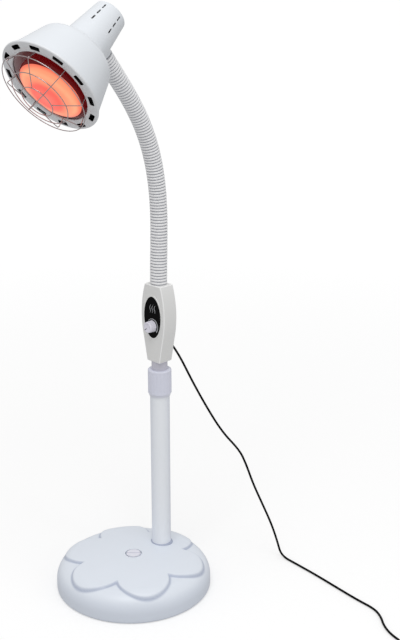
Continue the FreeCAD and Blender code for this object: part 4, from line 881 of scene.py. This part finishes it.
def knob_mesh():
    """Knob about Z with its face towards +Z: ribbed side, round edge and dished face."""
    side = [(KNOB_RADIUS, 0.0), (KNOB_RADIUS, KNOB_SKIRT)]
    side += [(KNOB_RADIUS + (KNOB_TOP_RADIUS - KNOB_RADIUS) * step / KNOB_SIDE_STEPS,
              KNOB_LENGTH * KNOB_SIDE_SHARE * step / KNOB_SIDE_STEPS)
             for step in range(1, KNOB_SIDE_STEPS + 1)]
    edge = rounded_path([side[-1], (KNOB_TOP_RADIUS, KNOB_LENGTH), (0.0, KNOB_LENGTH)],
                        [0, KNOB_EDGE_ROUND, 0], steps=6)[1:-1]
    dish = [(radius, KNOB_LENGTH - depth) for radius, depth in KNOB_DISH]
    piece = turned("dimmer_knob_ribbed", [(0.0, 0.0)] + side + edge + dish, knob_white,
                   sides=KNOB_RIBS * KNOB_RIB_SIDES)
    for vertex in piece.data.vertices:
        radius = math.hypot(vertex.co.x, vertex.co.y)
        if KNOB_RIB_START < vertex.co.z < KNOB_RIB_END and radius > KNOB_RIB_INSIDE:
            wave = 0.5 + 0.5 * math.cos(KNOB_RIBS * math.atan2(vertex.co.y, vertex.co.x))
            scale = 1 - KNOB_RIB_DEPTH * (1 - wave) / radius
            vertex.co.x *= scale
            vertex.co.y *= scale
    return crisp(piece, degrees=50)


KNOB_FRAME = (Matrix.Translation((0, PLATE_FACE - KNOB_GAP, DIAL_HEIGHT))
              @ Matrix.Rotation(math.radians(90), 4, "X"))
knob = knob_mesh()
knob.data.transform(KNOB_FRAME)
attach(knob, "dimmer")
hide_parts("dimmer_knob")

pointer_corners = ((POINTER_START, -POINTER_HALF_WIDTH), (POINTER_END, -POINTER_HALF_WIDTH),
                   (POINTER_END, POINTER_HALF_WIDTH), (POINTER_START, POINTER_HALF_WIDTH))
pointer_heights = (KNOB_LENGTH - POINTER_SUNK, KNOB_LENGTH + POINTER_PROUD)
pointer = lofted("knob_pointer", [[(along, side, height) for along, side in pointer_corners]
                                  for height in pointer_heights], dark_plastic)
pointer.data.transform(KNOB_FRAME @ Matrix.Rotation(math.radians(90 + ARC_SPAN / 2), 4, "Z"))
crisp(pointer)
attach(pointer, "dimmer")


# ---- Gooseneck ----------------------------------------------------------------------------
# A ribbed plastic sleeve over jointed segments. Each length of the sleeve crosses one joint,
# and the seams lie in the grooves halfway between joints.
NECK_RADIUS = 0.0167
NECK_GROOVE = 0.0022
NECK_GROOVE_FLOOR = 0.05
NECK_GROOVE_EDGE = 0.26
NECK_JOINTS = 8
NECK_RIBS = 10
NECK_RIB_SAMPLES = 12
NECK_FOOT_RIBS = 9
NECK_FOOT_HEIGHT = 0.621
NECK_FOOT_PLAIN = 0.001
NECK_SIDES = 48
NECK_BOW_STEPS = 40
NECK_LAST_LENGTH = 0.02875
NECK_END_GAP = 0.001

neck_plastic = skin("neck_plastic", linear(246, 246, 247),
                    roughness=0.5, mottle=0.03, grain=(900.0, 0.00004))
# Painted shade: the sleeve's grooves are coloured darker than its ribs.
neck_groove_shade = node(neck_plastic.node_tree, "ShaderNodeAttribute", attribute_name="ridge")
blended(neck_plastic, neck_groove_shade.outputs["Fac"], A=linear(180, 182, 189))


def hose_tree():
    """Geometry nodes: a ribbed hose along a line, with a narrow groove between broad ribs."""
    tree, given, result = geometry_tree("ribbed_hose", Radius="Float", Groove="Float", Pitch="Float",
                                        First="Float", Samples="Int", Sides="Int")
    line = node(tree, "GeometryNodeMeshToCurve", {"Mesh": given["Geometry"]})
    finer = node(tree, "GeometryNodeResampleCurve",
                 {"Curve": line.outputs["Curve"], "Count": given["Samples"]})
    along = node(tree, "GeometryNodeSplineParameter").outputs["Length"]
    in_ribs = maths(tree, "DIVIDE", maths(tree, "SUBTRACT", along, given["First"]), given["Pitch"])
    to_groove = maths(tree, "PINGPONG", in_ribs, 0.5)
    crest = ranged(tree, to_groove, NECK_GROOVE_FLOOR, NECK_GROOVE_EDGE)
    depth = maths(tree, "MULTIPLY", maths(tree, "SUBTRACT", 1.0, crest), given["Groove"])
    ridge = node(tree, "GeometryNodeStoreNamedAttribute",
                 {"Geometry": finer.outputs["Curve"], "Name": "ridge", "Value": crest},
                 data_type="FLOAT", domain="POINT")
    return swept(tree, given, result, ridge.outputs["Geometry"], 1.0,
                 Scale=maths(tree, "SUBTRACT", given["Radius"], depth))


HOSE = hose_tree()


def bow(start, control, end):
    """Points of a smooth bend from start to end that leaves and arrives along the control point."""
    shares = [step / NECK_BOW_STEPS for step in range(NECK_BOW_STEPS + 1)]
    return [start.lerp(control, share).lerp(control.lerp(end, share), share) for share in shares]


swivel_place = Vector(joints["head_swivel"]["pos_m"])
swivel_axis = Vector(joints["head_swivel"]["axis"]).normalized()
knuckles = [Vector(joints[f"neck_bend_{number}"]["pos_m"]) for number in range(1, NECK_JOINTS + 1)]
neck_foot = Vector((0.0, POLE_Y, NECK_FOOT_HEIGHT))
neck_end = swivel_place - swivel_axis * NECK_END_GAP
halfways = [(low + high) / 2 for low, high in zip(knuckles, knuckles[1:])]
halfways.append(knuckles[-1] + swivel_axis * NECK_LAST_LENGTH)
for number, knuckle in enumerate(knuckles, 1):
    start = neck_foot if number == 1 else halfways[number - 2]
    line = bow(start, knuckle, halfways[number - 1])
    length = sum(math.dist(a, b) for a, b in zip(line, line[1:]))
    ribs = NECK_FOOT_RIBS if number == 1 else NECK_RIBS
    first = NECK_FOOT_PLAIN if number == 1 else 0.0
    pitch = (length - first) / ribs
    if number == NECK_JOINTS:
        line.append(neck_end)
        length += math.dist(halfways[-1], neck_end)
    hose = polyline(f"gooseneck_sleeve_{number}", [line])
    shaped_by(hose, HOSE, radius=NECK_RADIUS, groove=NECK_GROOVE, pitch=pitch, first=first,
              samples=round(length / pitch * NECK_RIB_SAMPLES) + 1, sides=NECK_SIDES,
              material=neck_plastic)
    settled(hose)
    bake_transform(hose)
    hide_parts("gooseneck_base" if number == 1 else f"gooseneck_segment_{number - 1}")
    if number == NECK_JOINTS:
        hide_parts("gooseneck_segment_8")

washer_fibre = skin("washer_fibre", linear(70, 70, 74), roughness=0.6, mottle=0.2, grain=(900.0, 0.00005))
dress(washer_fibre, "swivel_washer")


# ---- Lamp shade ---------------------------------------------------------------------------
# A spun steel shade, stove-enamelled cool white, with five rows of three cooling slots round
# its neck and a short boss for the swivel. Its inside is painted near-black as shade.
HEAD_ORIGIN = Vector((0.0242089, -0.1854631, 1.0190788))
HEAD_BACK = Vector((-0.0735542, 0.8004846, 0.5948228))
HEAD_UP = Vector((0.0544272, -0.5923275, 0.8038569))
HEAD_SIDE = HEAD_BACK.cross(HEAD_UP)
HEAD = Matrix.Translation(HEAD_ORIGIN) @ Matrix((HEAD_UP, HEAD_SIDE, HEAD_BACK)).transposed().to_4x4()
SHADE_WALL = 0.0015
# Radius and how far back from the rim, from the rim to the swivel.
SHADE_CORNERS = [(0.0930, 0.0026), (0.0697, 0.0789), (0.0416, 0.0970), (0.0302, 0.1840), (0.0, 0.1840)]
SHADE_ROUNDS = [0, 0.0204, 0.012, 0.003, 0]
SHADE_SPACING = 0.004
SKIN_TURN = 3.0
VENT_BACKS = (0.139, 0.155, 0.171)
VENT_ANGLES = (24.0, 84.0, 144.0, 264.0, 324.0)
VENT_LENGTH = 0.0115
VENT_WIDTH = 0.0032
VENT_SHARES = (-1.0, -0.6, 0.0, 0.6, 1.0)
SHADE_NECK_ROWS = 9
SHADE_NECK_START = 0.007
SHADE_NECK_SPACING = 0.003
SHADE_ROW_GAP = 0.0005
ANGLE_SLACK = 0.01
BOSS_RADIUS = 0.0167
BOSS_LENGTH = 0.016
BOSS_ROUND = 0.0012

shade_paint = skin("shade_paint", linear(223, 227, 232),
                   roughness=0.3, mottle=0.02, grain=(420.0, 0.00003), coat=0.15)
# Painted shade: near-black, used inside the shade, on the ring's slot walls and outside the reflector, so
# that the slots look dark.
shade_inside = skin("shade_inside", linear(14, 14, 15), roughness=0.8, mottle=0.2, grain=(600.0, 0.00004))


def pierced(name, rows, angles, holes, shape, materials):
    """Skin round Z over a grid of rows and of columns at some angles, open where a cell is a hole.
    shape gives the radius and the height for a row's and a column's number."""
    rings = []
    for row in range(rows):
        bent = [shape(row, column) for column in range(len(angles))]
        rings.append([(*polar(radius, angle), height) for (radius, height), angle in zip(bent, angles)])
    points, grid = numbered(rings)
    faces = row_faces(grid, holes)
    used = sorted({corner for face in faces for corner in face})
    renumbered = {old: new for new, old in enumerate(used)}
    return mesh_piece(name, [points[old] for old in used],
                      [tuple(renumbered[corner] for corner in face) for face in faces], *materials)


def walled(piece, thickness):
    """Gives a skin its wall, on the side away from its normals."""
    wall = piece.modifiers.new("wall", "SOLIDIFY")
    wall.thickness = thickness
    wall.offset = -1.0
    wall.material_offset = len(piece.data.materials) - 1
    return settled(piece)


def spaced_angles(fixed):
    """The fixed angles of a full turn with more between them, evenly spaced and close."""
    fixed = sorted(angle % 360 for angle in fixed)
    angles = []
    for index, angle in enumerate(fixed):
        gap = (fixed[(index + 1) % len(fixed)] - angle) % 360
        count = max(1, math.ceil(gap / SKIN_TURN - ANGLE_SLACK))
        angles += [(angle + gap * share / count) % 360 for share in range(count)]
    return angles


def in_slots(angles, middles, half):
    """How far each column within half a slot's width of a slot's middle is from it, in degrees."""
    found = {}
    for column, angle in enumerate(angles):
        for middle in middles:
            away = abs((angle - middle + 180) % 360 - 180)
            if away < half + TINY:
                found[column] = away
    return found


def shade_skin():
    """Outside of the shade with its cooling slots."""
    path = spread_out(rounded_path(SHADE_CORNERS, SHADE_ROUNDS, steps=10), SHADE_SPACING)
    slots = [(back - VENT_LENGTH / 2, back + VENT_LENGTH / 2) for back in VENT_BACKS]
    (low_radius, low_back), (high_radius, high_back) = SHADE_CORNERS[2], SHADE_CORNERS[3]

    def on_neck(back):
        share = (back - low_back) / (high_back - low_back)
        return low_radius + (high_radius - low_radius) * share, back

    straight = [low_back + SHADE_NECK_START + SHADE_NECK_SPACING * row for row in range(SHADE_NECK_ROWS)]
    straight += [back for low, high in slots
                 for back in (low, low + VENT_WIDTH / 2, (low + high) / 2, high - VENT_WIDTH / 2, high)]
    straight = [on_neck(back) for back in straight]
    path = ([place for place in path if place[1] < straight[0][1] - SHADE_ROW_GAP] + straight
            + [place for place in path if place[1] > straight[-1][1] + SHADE_ROW_GAP])
    half = math.degrees(VENT_WIDTH / 2 / on_neck(VENT_BACKS[1])[0])
    edges = [angle + half * share for angle in VENT_ANGLES for share in VENT_SHARES]
    angles = spaced_angles(edges)
    share_of = {column: min(away / half, 1.0)
                for column, away in in_slots(angles, VENT_ANGLES, half).items()}
    holes, ends = set(), {}
    for row, (radius, back) in enumerate(path):
        for low, high in slots:
            if low - TINY < back < high - TINY:
                holes |= {(row, column) for column in share_of
                          if (column + 1) % len(angles) in share_of}
            if abs(back - low) < TINY:
                ends[row] = 1.0
            if abs(back - high) < TINY:
                ends[row] = -1.0

    def shape(row, column):
        radius, back = path[row]
        if row in ends and column in share_of:
            back += ends[row] * VENT_WIDTH / 2 * (1 - math.sqrt(1 - share_of[column] ** 2))
            radius = on_neck(back)[0]
        return radius, back

    return pierced("lamp_shade_skin", len(path), angles, holes, shape, (shade_paint, shade_inside))


shade = walled(shade_skin(), SHADE_WALL)
crisp(shade, degrees=40)
shade.data.transform(HEAD)
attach(shade, "head")
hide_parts("lamp_shade")

BOSS_FRAME = facing(swivel_place, swivel_axis)
boss_profile = [(0.0, 0.0), (BOSS_RADIUS - BOSS_ROUND, 0.0), (BOSS_RADIUS - BOSS_ROUND / 3, BOSS_ROUND / 3),
                (BOSS_RADIUS, BOSS_ROUND), (BOSS_RADIUS, BOSS_LENGTH), (0.0, BOSS_LENGTH)]
boss = crisp(turned("swivel_boss", boss_profile, shade_paint, sides=64, place=BOSS_FRAME))
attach(boss, "head")


# ---- Rim ring -----------------------------------------------------------------------------
# A pressed ring of grey-painted steel that closes the shade's rim, pierced by twelve air slots
# whose cut walls are painted near-black as shade, like the dark space behind them.
RING_CORNERS = [(0.0755, 0.0026), (0.0755, 0.0013), (0.0840, 0.0), (0.0943, 0.0013), (0.0943, 0.0032)]
RING_ROUNDS = [0, 0.0005, 0.025, 0.0014, 0]
RING_WALL = 0.0013
RING_SPACING = 0.0024
RING_FRONT = 0.0018
RING_SLOTS = 12
RING_SLOT_FIRST = 15.0
RING_SLOT_RADIUS = 0.0860
RING_SLOT_HALF_LENGTH = 0.0100
RING_SLOT_HALF_WIDTH = 0.00425
RING_SLOT_ROUND = 0.002
RING_SLOT_WAYS = (0.0, 0.004, 0.008, 0.0089, 0.0096, RING_SLOT_HALF_LENGTH)
RING_SLOT_ROW = 0.0022
RING_ROW_GAP = 0.0004
RING_WALL_REACH = 0.001
RING_WALL_FACING = -0.5

ring_paint = skin("ring_paint", linear(226, 228, 231), roughness=0.38, mottle=0.03, grain=(600.0, 0.00003))


def ring_skin():
    """Front of the ring with its air slots, in order from the outer lip to the inner edge."""
    path = spread_out(rounded_path(RING_CORNERS, RING_ROUNDS), RING_SPACING)
    inner, outer = RING_SLOT_RADIUS - RING_SLOT_HALF_WIDTH, RING_SLOT_RADIUS + RING_SLOT_HALF_WIDTH
    front = [place for place in path if place[1] < RING_FRONT]

    def on_front(radius):
        for (ra, ba), (rb, bb) in zip(front, front[1:]):
            if ra <= radius <= rb and rb > ra:
                return radius, ba + (bb - ba) * (radius - ra) / (rb - ra)
        return radius, front[-1][1]

    path = [place for place in path if place[1] >= RING_FRONT
            or not inner - RING_ROW_GAP < place[0] < outer + RING_ROW_GAP]
    before = [place for place in path if place[0] <= inner]
    across = (inner, inner + RING_SLOT_ROW, RING_SLOT_RADIUS, outer - RING_SLOT_ROW, outer)
    path = before + [on_front(radius) for radius in across] + path[len(before):]
    path.reverse()
    ways = [way * sign for way in RING_SLOT_WAYS for sign in (-1, 1)]
    middles = [RING_SLOT_FIRST + 360 / RING_SLOTS * step for step in range(RING_SLOTS)]
    fixed = sorted({round(middle + math.degrees(way / RING_SLOT_RADIUS), 6)
                    for middle in middles for way in ways})
    angles = spaced_angles(fixed)
    half = math.degrees(RING_SLOT_HALF_LENGTH / RING_SLOT_RADIUS)
    way_of = {column: math.radians(away) * RING_SLOT_RADIUS
              for column, away in in_slots(angles, middles, half).items()}
    holes = {(row, column) for row, place in enumerate(path) for column in way_of
             if inner + TINY < place[0] < outer + TINY and place[1] < RING_FRONT
             and (column + 1) % len(angles) in way_of}
    straight = RING_SLOT_HALF_LENGTH - RING_SLOT_ROUND

    def shape(row, column):
        radius, back = path[row]
        end = 1.0 if abs(radius - inner) < TINY else -1.0 if abs(radius - outer) < TINY else 0.0
        past = min(max(way_of.get(column, 0.0) - straight, 0.0), RING_SLOT_ROUND)
        if end and past:
            radius += end * (RING_SLOT_ROUND - math.sqrt(RING_SLOT_ROUND ** 2 - past ** 2))
            radius, back = on_front(radius)
        return radius, back

    return pierced("rim_ring_skin", len(path), angles, holes, shape, (ring_paint,))


ring = walled(ring_skin(), RING_WALL)
# Painted shade: the slots' cut walls take the near-black inside material.
ring.data.materials.append(shade_inside)
for polygon in ring.data.polygons:
    away = abs(math.hypot(polygon.center.x, polygon.center.y) - RING_SLOT_RADIUS)
    if polygon.normal.z > RING_WALL_FACING and away < RING_SLOT_HALF_WIDTH + RING_WALL_REACH:
        polygon.material_index = 1
crisp(ring, degrees=40)
ring.data.transform(HEAD)
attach(ring, "head")
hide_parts("rim_ring")


# ---- Reflector ----------------------------------------------------------------------------
# An open cone of pale anodised aluminium round the bulb, held by its flange in the guard's hooks
# behind the ring; its outside and flange are painted near-black as shade. It keeps the heat off
# the enamelled lamp shade.
REFLECTOR_CORNERS = [(0.0815, 0.00464), (0.0815, 0.00544), (0.0753, 0.00544), (0.0648, 0.0620),
                     (0.0640, 0.0620), (0.0745, 0.00464), (0.0815, 0.00464)]
REFLECTOR_FLANGE = 0.0765

reflector_metal = skin("reflector_metal", linear(240, 240, 242),
                       roughness=0.4, mottle=0.05, grain=(500.0, 0.00003), metallic=0.15)
reflector = turned("reflector_cone", REFLECTOR_CORNERS, reflector_metal, sides=160)
# Painted shade: its outside and flange take the near-black inside material.
reflector.data.materials.append(shade_inside)
for polygon in reflector.data.polygons:
    outward = polygon.normal.x * polygon.center.x + polygon.normal.y * polygon.center.y
    if outward > 0 or math.hypot(polygon.center.x, polygon.center.y) > REFLECTOR_FLANGE:
        polygon.material_index = 1
reflector.data.transform(HEAD)
crisp(reflector)
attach(reflector, "head")
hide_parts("reflector")


# ---- Wire guard ---------------------------------------------------------------------------
# Chromed 1.6 mm wire: three hoops welded to eight spokes. Four spokes stop at the inner hoop and
# four meet in the middle. Their hooked ends hold behind the ring.
WIRE_RADIUS = 0.0008
WIRE_SIDES = 12
# Radius and how far each hoop stands in front of the ring.
GUARD_HOOPS = ((0.0820, 0.0185), (0.0555, 0.0285), (0.0310, 0.0363))
HOOP_POINTS = 120
SPOKE_CORNERS = [(0.0305, -0.03434), (0.0549, -0.02657), (0.08038, -0.01729),
                 (0.07448, 0.0), (0.07448, 0.00362), (0.07898, 0.00362)]
SPOKE_ROUNDS = [0, 0.004, 0.004, 0.003, 0.0012, 0]
SPOKE_CROWN = (0.0, -0.0365)
SPOKE_CROWN_ROUND = 0.006
SPOKE_TURNS = 4
FIRST_SPOKE = 12.5

# Its slight pink tint is a painted reflection of the red bulb.
guard_chrome = skin("guard_chrome", linear(184, 172, 172),
                    roughness=0.25, mottle=0.1, grain=(1500.0, 0.00001), metallic=1.0)


def around_tree():
    """Geometry nodes: copies of what they are given, turned in equal steps about Z."""
    tree, given, result = geometry_tree("copies_around", Count="Int", Step="Float")
    points = node(tree, "GeometryNodePoints", {"Count": given["Count"]})
    number = node(tree, "GeometryNodeInputIndex").outputs["Index"]
    turn = node(tree, "ShaderNodeCombineXYZ", {"Z": maths(tree, "MULTIPLY", number, given["Step"])})
    copies = node(tree, "GeometryNodeInstanceOnPoints",
                  {"Points": points.outputs["Points"], "Instance": given["Geometry"],
                   "Rotation": turn.outputs["Vector"]})
    return painted(tree, given, result, copies.outputs["Instances"])


AROUND = around_tree()


def on_spoke(angle, corners, rounds):
    """Points of one bent spoke that stands at an angle round the head's axis."""
    return [(*polar(radius, angle), back) for radius, back in rounded_path(corners, rounds, steps=6)]


spokes = polyline("guard_wires", [
    on_spoke(FIRST_SPOKE, SPOKE_CORNERS, SPOKE_ROUNDS),
    on_spoke(FIRST_SPOKE + 180 / SPOKE_TURNS, [SPOKE_CROWN] + SPOKE_CORNERS,
             [0, SPOKE_CROWN_ROUND] + SPOKE_ROUNDS[1:])])
shaped_by(spokes, TUBE, radius=WIRE_RADIUS, sides=WIRE_SIDES, material=guard_chrome)
shaped_by(spokes, AROUND, count=SPOKE_TURNS, step=2 * math.pi / SPOKE_TURNS, material=guard_chrome)
settled(spokes)
spokes.data.transform(HEAD)
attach(spokes, "head")
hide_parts("guard_spokes")

for (radius, forward), word in zip(GUARD_HOOPS, ("outer", "middle", "inner")):
    loop = [(x, y, -forward) for x, y in circle(radius, HOOP_POINTS)]
    hoop = polyline("guard_hoop_" + word, [loop], closed=True)
    shaped_by(hoop, TUBE, radius=WIRE_RADIUS, sides=WIRE_SIDES, material=guard_chrome)
    settled(hoop)
    hoop.data.transform(HEAD)
    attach(hoop, "head")
    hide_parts(f"guard_{word}_ring")


# ---- Bulb ---------------------------------------------------------------------------------
# A blown reflector bulb of red hard glass, frosted inside its face, which glows coral round the
# filament and peach towards the rim. Its mirrored side shows only deep red.
BULB_RADIUS = 0.0630
BULB_PIVOT = 0.122
BULB_LEAN = (-0.0042, 0.0034)
# Radius and how far back from the rim's plane.
BULB_OUTLINE = [(0.0, -0.0140), (0.0156, -0.0135), (0.0315, -0.0120), (0.0455, -0.0098),
                (0.0550, -0.0076), (0.0600, -0.0054), (0.0621, -0.0030), (0.0629, 0.0000),
                (0.0630, 0.0025), (0.0615, 0.0160), (0.0578, 0.0310), (0.0512, 0.0490),
                (0.0440, 0.0665), (0.0350, 0.0835), (0.0265, 0.0955), (0.0215, 0.1060),
                (0.0190, 0.1120), (0.0185, 0.1180), (0.0185, 0.1370), (0.0170, 0.1380), (0.0, 0.1380)]
BULB_OUTLINE_SPACING = 0.002
BULB_SIDES = 128
FACE_EDGE = 0.0600
# How far out from the filament's place, and the colour there.
GLOW_STOPS = ((0.00, (250, 118, 100)), (0.42, (250, 96, 80)), (0.66, (255, 152, 112)),
              (0.86, (255, 172, 126)), (1.00, (255, 158, 114)))
GLOW_CENTRE_SHIFT = (0.15, 0.17, 0.0)
GLOW_STRENGTH = 0.96
GLOW_RIM_START = 0.80
GLOW_RIM_END = 0.97
GLOW_RIM_SHARE = 0.75
SIDE_GLOW_STRENGTH = 0.42


def smooth_outline(corners, spacing):
    """Finer outline through the corners, curved like a spline."""
    ends = [corners[0]] + list(corners) + [corners[-1]]
    finer = []
    for a, b, c, d in zip(ends, ends[1:], ends[2:], ends[3:]):
        count = max(1, math.ceil(math.dist(b, c) / spacing))
        for step in range(count):
            t = step / count
            finer.append(tuple(0.5 * (2 * q + (r - p) * t + (2 * p - 5 * q + 4 * r - s) * t ** 2
                                      + (3 * q - p - 3 * r + s) * t ** 3)
                               for p, q, r, s in zip(a, b, c, d)))
    return [(max(radius, 0.0), back) for radius, back in finer + [corners[-1]]]


def glowing(name):
    """Lit frosted glass, whose glow follows the piece's UV map, centred on the filament."""
    material = skin(name, linear(120, 24, 18), roughness=0.34, mottle=0.1, grain=(700.0, 0.00002), coat=0.4)
    tree = material.node_tree
    place = node(tree, "ShaderNodeUVMap", uv_map="face").outputs["UV"]
    centred = node(tree, "ShaderNodeMapping", {"Vector": place, "Location": GLOW_CENTRE_SHIFT})
    reach = node(tree, "ShaderNodeVectorMath", {0: centred.outputs["Vector"]}, operation="LENGTH")
    ramp = node(tree, "ShaderNodeValToRGB", {"Fac": reach.outputs["Value"]})
    ramp.color_ramp.interpolation = "EASE"
    stops = ramp.color_ramp.elements
    while len(stops) < len(GLOW_STOPS):
        stops.new(0.5)
    for stop, (position, color) in zip(stops, GLOW_STOPS):
        stop.position = position
        stop.color = linear(*color)
    across = node(tree, "ShaderNodeVectorMath", {0: place}, operation="LENGTH")
    rim = ranged(tree, across.outputs["Value"], GLOW_RIM_START, GLOW_RIM_END, high=GLOW_RIM_SHARE)
    glow = node(tree, "ShaderNodeMix",
                {"Factor": rim, "A": ramp.outputs["Color"], "B": linear(232, 84, 66)}, data_type="RGBA")
    feed_surface(material, {"Emission Color": glow.outputs["Result"], "Emission Strength": GLOW_STRENGTH})
    return material


bulb_lit = glowing("bulb_face_glass")
bulb_glass = skin("bulb_side_glass", linear(62, 3, 6),
                  roughness=0.5, mottle=0.15, grain=(500.0, 0.00001), shine=0.2)
feed_surface(bulb_glass, {"Emission Color": linear(120, 2, 6), "Emission Strength": SIDE_GLOW_STRENGTH})

bulb_profile = smooth_outline(BULB_OUTLINE, BULB_OUTLINE_SPACING)
bulb = turned("reflector_bulb", bulb_profile, bulb_lit, sides=BULB_SIDES)
bulb.data.materials.append(bulb_glass)
face_map = bulb.data.uv_layers.new(name="face")
for polygon in bulb.data.polygons:
    if polygon.center.z > 0.0 or math.hypot(polygon.center.x, polygon.center.y) > FACE_EDGE:
        polygon.material_index = 1
    for loop_index in polygon.loop_indices:
        corner = bulb.data.vertices[bulb.data.loops[loop_index].vertex_index].co
        face_map.data[loop_index].uv = (corner.x / BULB_RADIUS, corner.y / BULB_RADIUS)
lean = Vector((*BULB_LEAN, -BULB_PIVOT)).rotation_difference(Vector((0, 0, -BULB_PIVOT))).inverted()
bulb.data.transform(HEAD @ Matrix.Translation((0, 0, BULB_PIVOT)) @ lean.to_matrix().to_4x4()
                    @ Matrix.Translation((0, 0, -BULB_PIVOT)))
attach(bulb, "head")
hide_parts("bulb_glass")

stem_glass = skin("stem_glass", linear(210, 216, 218),
                  roughness=0.1, mottle=0.1, grain=(500.0, 0.00001), coat=0.5)
tungsten = skin("tungsten", linear(110, 106, 100),
                roughness=0.35, mottle=0.1, grain=(900.0, 0.00001), metallic=1.0)
bulb_cap_metal = skin("bulb_cap_metal", linear(196, 186, 160),
                      roughness=0.3, mottle=0.15, grain=(900.0, 0.00002), metallic=1.0)
cap_insulator = skin("cap_insulator", linear(24, 22, 30), roughness=0.2, mottle=0.2, grain=(400.0, 0.00001))
contact_metal = skin("contact_metal", linear(200, 176, 120),
                     roughness=0.3, mottle=0.15, grain=(900.0, 0.00002), metallic=1.0)
holder_ceramic = skin("holder_ceramic", linear(236, 233, 224),
                      roughness=0.28, mottle=0.05, grain=(300.0, 0.00003), coat=0.3)
dress(stem_glass, "bulb_stem")
dress(tungsten, "bulb_filament")
dress(bulb_cap_metal, "bulb_cap")
dress(cap_insulator, "bulb_insulator")
dress(contact_metal, "bulb_contact", "holder_shell", "holder_tongue")
dress(holder_ceramic, "lamp_holder")
dress(zinc_steel, "holder_plate", "holder_screws")


# ---- Floor and light ----------------------------------------------------------------------
# A plain pale floor that keeps a faint shadow and glows a little more where the lamps reach it
# less. A large soft lamp stands in front and above, a tall strip lamp to the right, and the
# surround is white.
FLOOR_HALF = 40.0
FLOOR_TOP = -0.0004
FLOOR_ROUGHNESS = 0.9
FLOOR_SEEN = 0.60
FLOOR_GLOW_NEAR = 0.45
FLOOR_GLOW_FAR = 0.61
FLOOR_GLOW_REACH = 4.0
FLOOR_BOUNCE = 0.65
WORLD_LEVEL = 0.66
# Name, width, height, watts and place.
LAMPS = (("key", 1.6, 1.6, 29.5, (0.75, -0.90, 3.1)), ("strip", 0.35, 1.7, 3.0, (2.4, 0.25, 1.0)))
LAMP_AIM = Vector((0.0, 0.0, 0.6))


def grey(level):
    """Colour of one level in red, green and blue."""
    return level, level, level, 1.0


floor_material = bpy.data.materials.new("floor")
floor_material.use_nodes = True
floor_tree = floor_material.node_tree
floor_seen = node(floor_tree, "ShaderNodeLightPath").outputs["Is Camera Ray"]
floor_color = node(floor_tree, "ShaderNodeMix",
                   {"Factor": floor_seen, "A": grey(FLOOR_BOUNCE), "B": grey(FLOOR_SEEN)}, data_type="RGBA")
floor_place = node(floor_tree, "ShaderNodeTexCoord").outputs["Object"]
floor_away = node(floor_tree, "ShaderNodeVectorMath", {0: floor_place}, operation="LENGTH")
floor_level = ranged(floor_tree, floor_away.outputs["Value"], 0.0, FLOOR_GLOW_REACH,
                     low=FLOOR_GLOW_NEAR, high=FLOOR_GLOW_FAR)
floor_glow = maths(floor_tree, "MULTIPLY", floor_seen, floor_level)
feed_surface(floor_material, {
    "Base Color": floor_color.outputs["Result"], "Roughness": FLOOR_ROUGHNESS,
    "Specular IOR Level": 0.0, "Emission Color": grey(1.0), "Emission Strength": floor_glow})
floor_corners = [(x * FLOOR_HALF, y * FLOOR_HALF, FLOOR_TOP)
                 for x, y in ((-1, -1), (1, -1), (1, 1), (-1, 1))]
floor = mesh_piece("floor", floor_corners, [(0, 1, 2, 3)], floor_material)

world = bpy.data.worlds.new("surround")
scene.world = world
world.use_nodes = True
sky_tree = world.node_tree
sky_seen = node(sky_tree, "ShaderNodeLightPath").outputs["Is Camera Ray"]
sky_level = maths(sky_tree, "MULTIPLY_ADD", sky_seen, 1.0 - WORLD_LEVEL, WORLD_LEVEL)
feed(sky_tree, sky_tree.nodes["Background"], {"Color": grey(1.0), "Strength": sky_level})

for name, width, height, watts, place in LAMPS:
    lamp = bpy.data.lights.new(name, "AREA")
    lamp.shape = "RECTANGLE"
    lamp.size = width
    lamp.size_y = height
    lamp.energy = watts
    stand = link(bpy.data.objects.new(name, lamp))
    stand.location = place
    stand.rotation_euler = (LAMP_AIM - stand.location).to_track_quat("-Z", "Y").to_euler()

scene.view_settings.view_transform = "Standard"
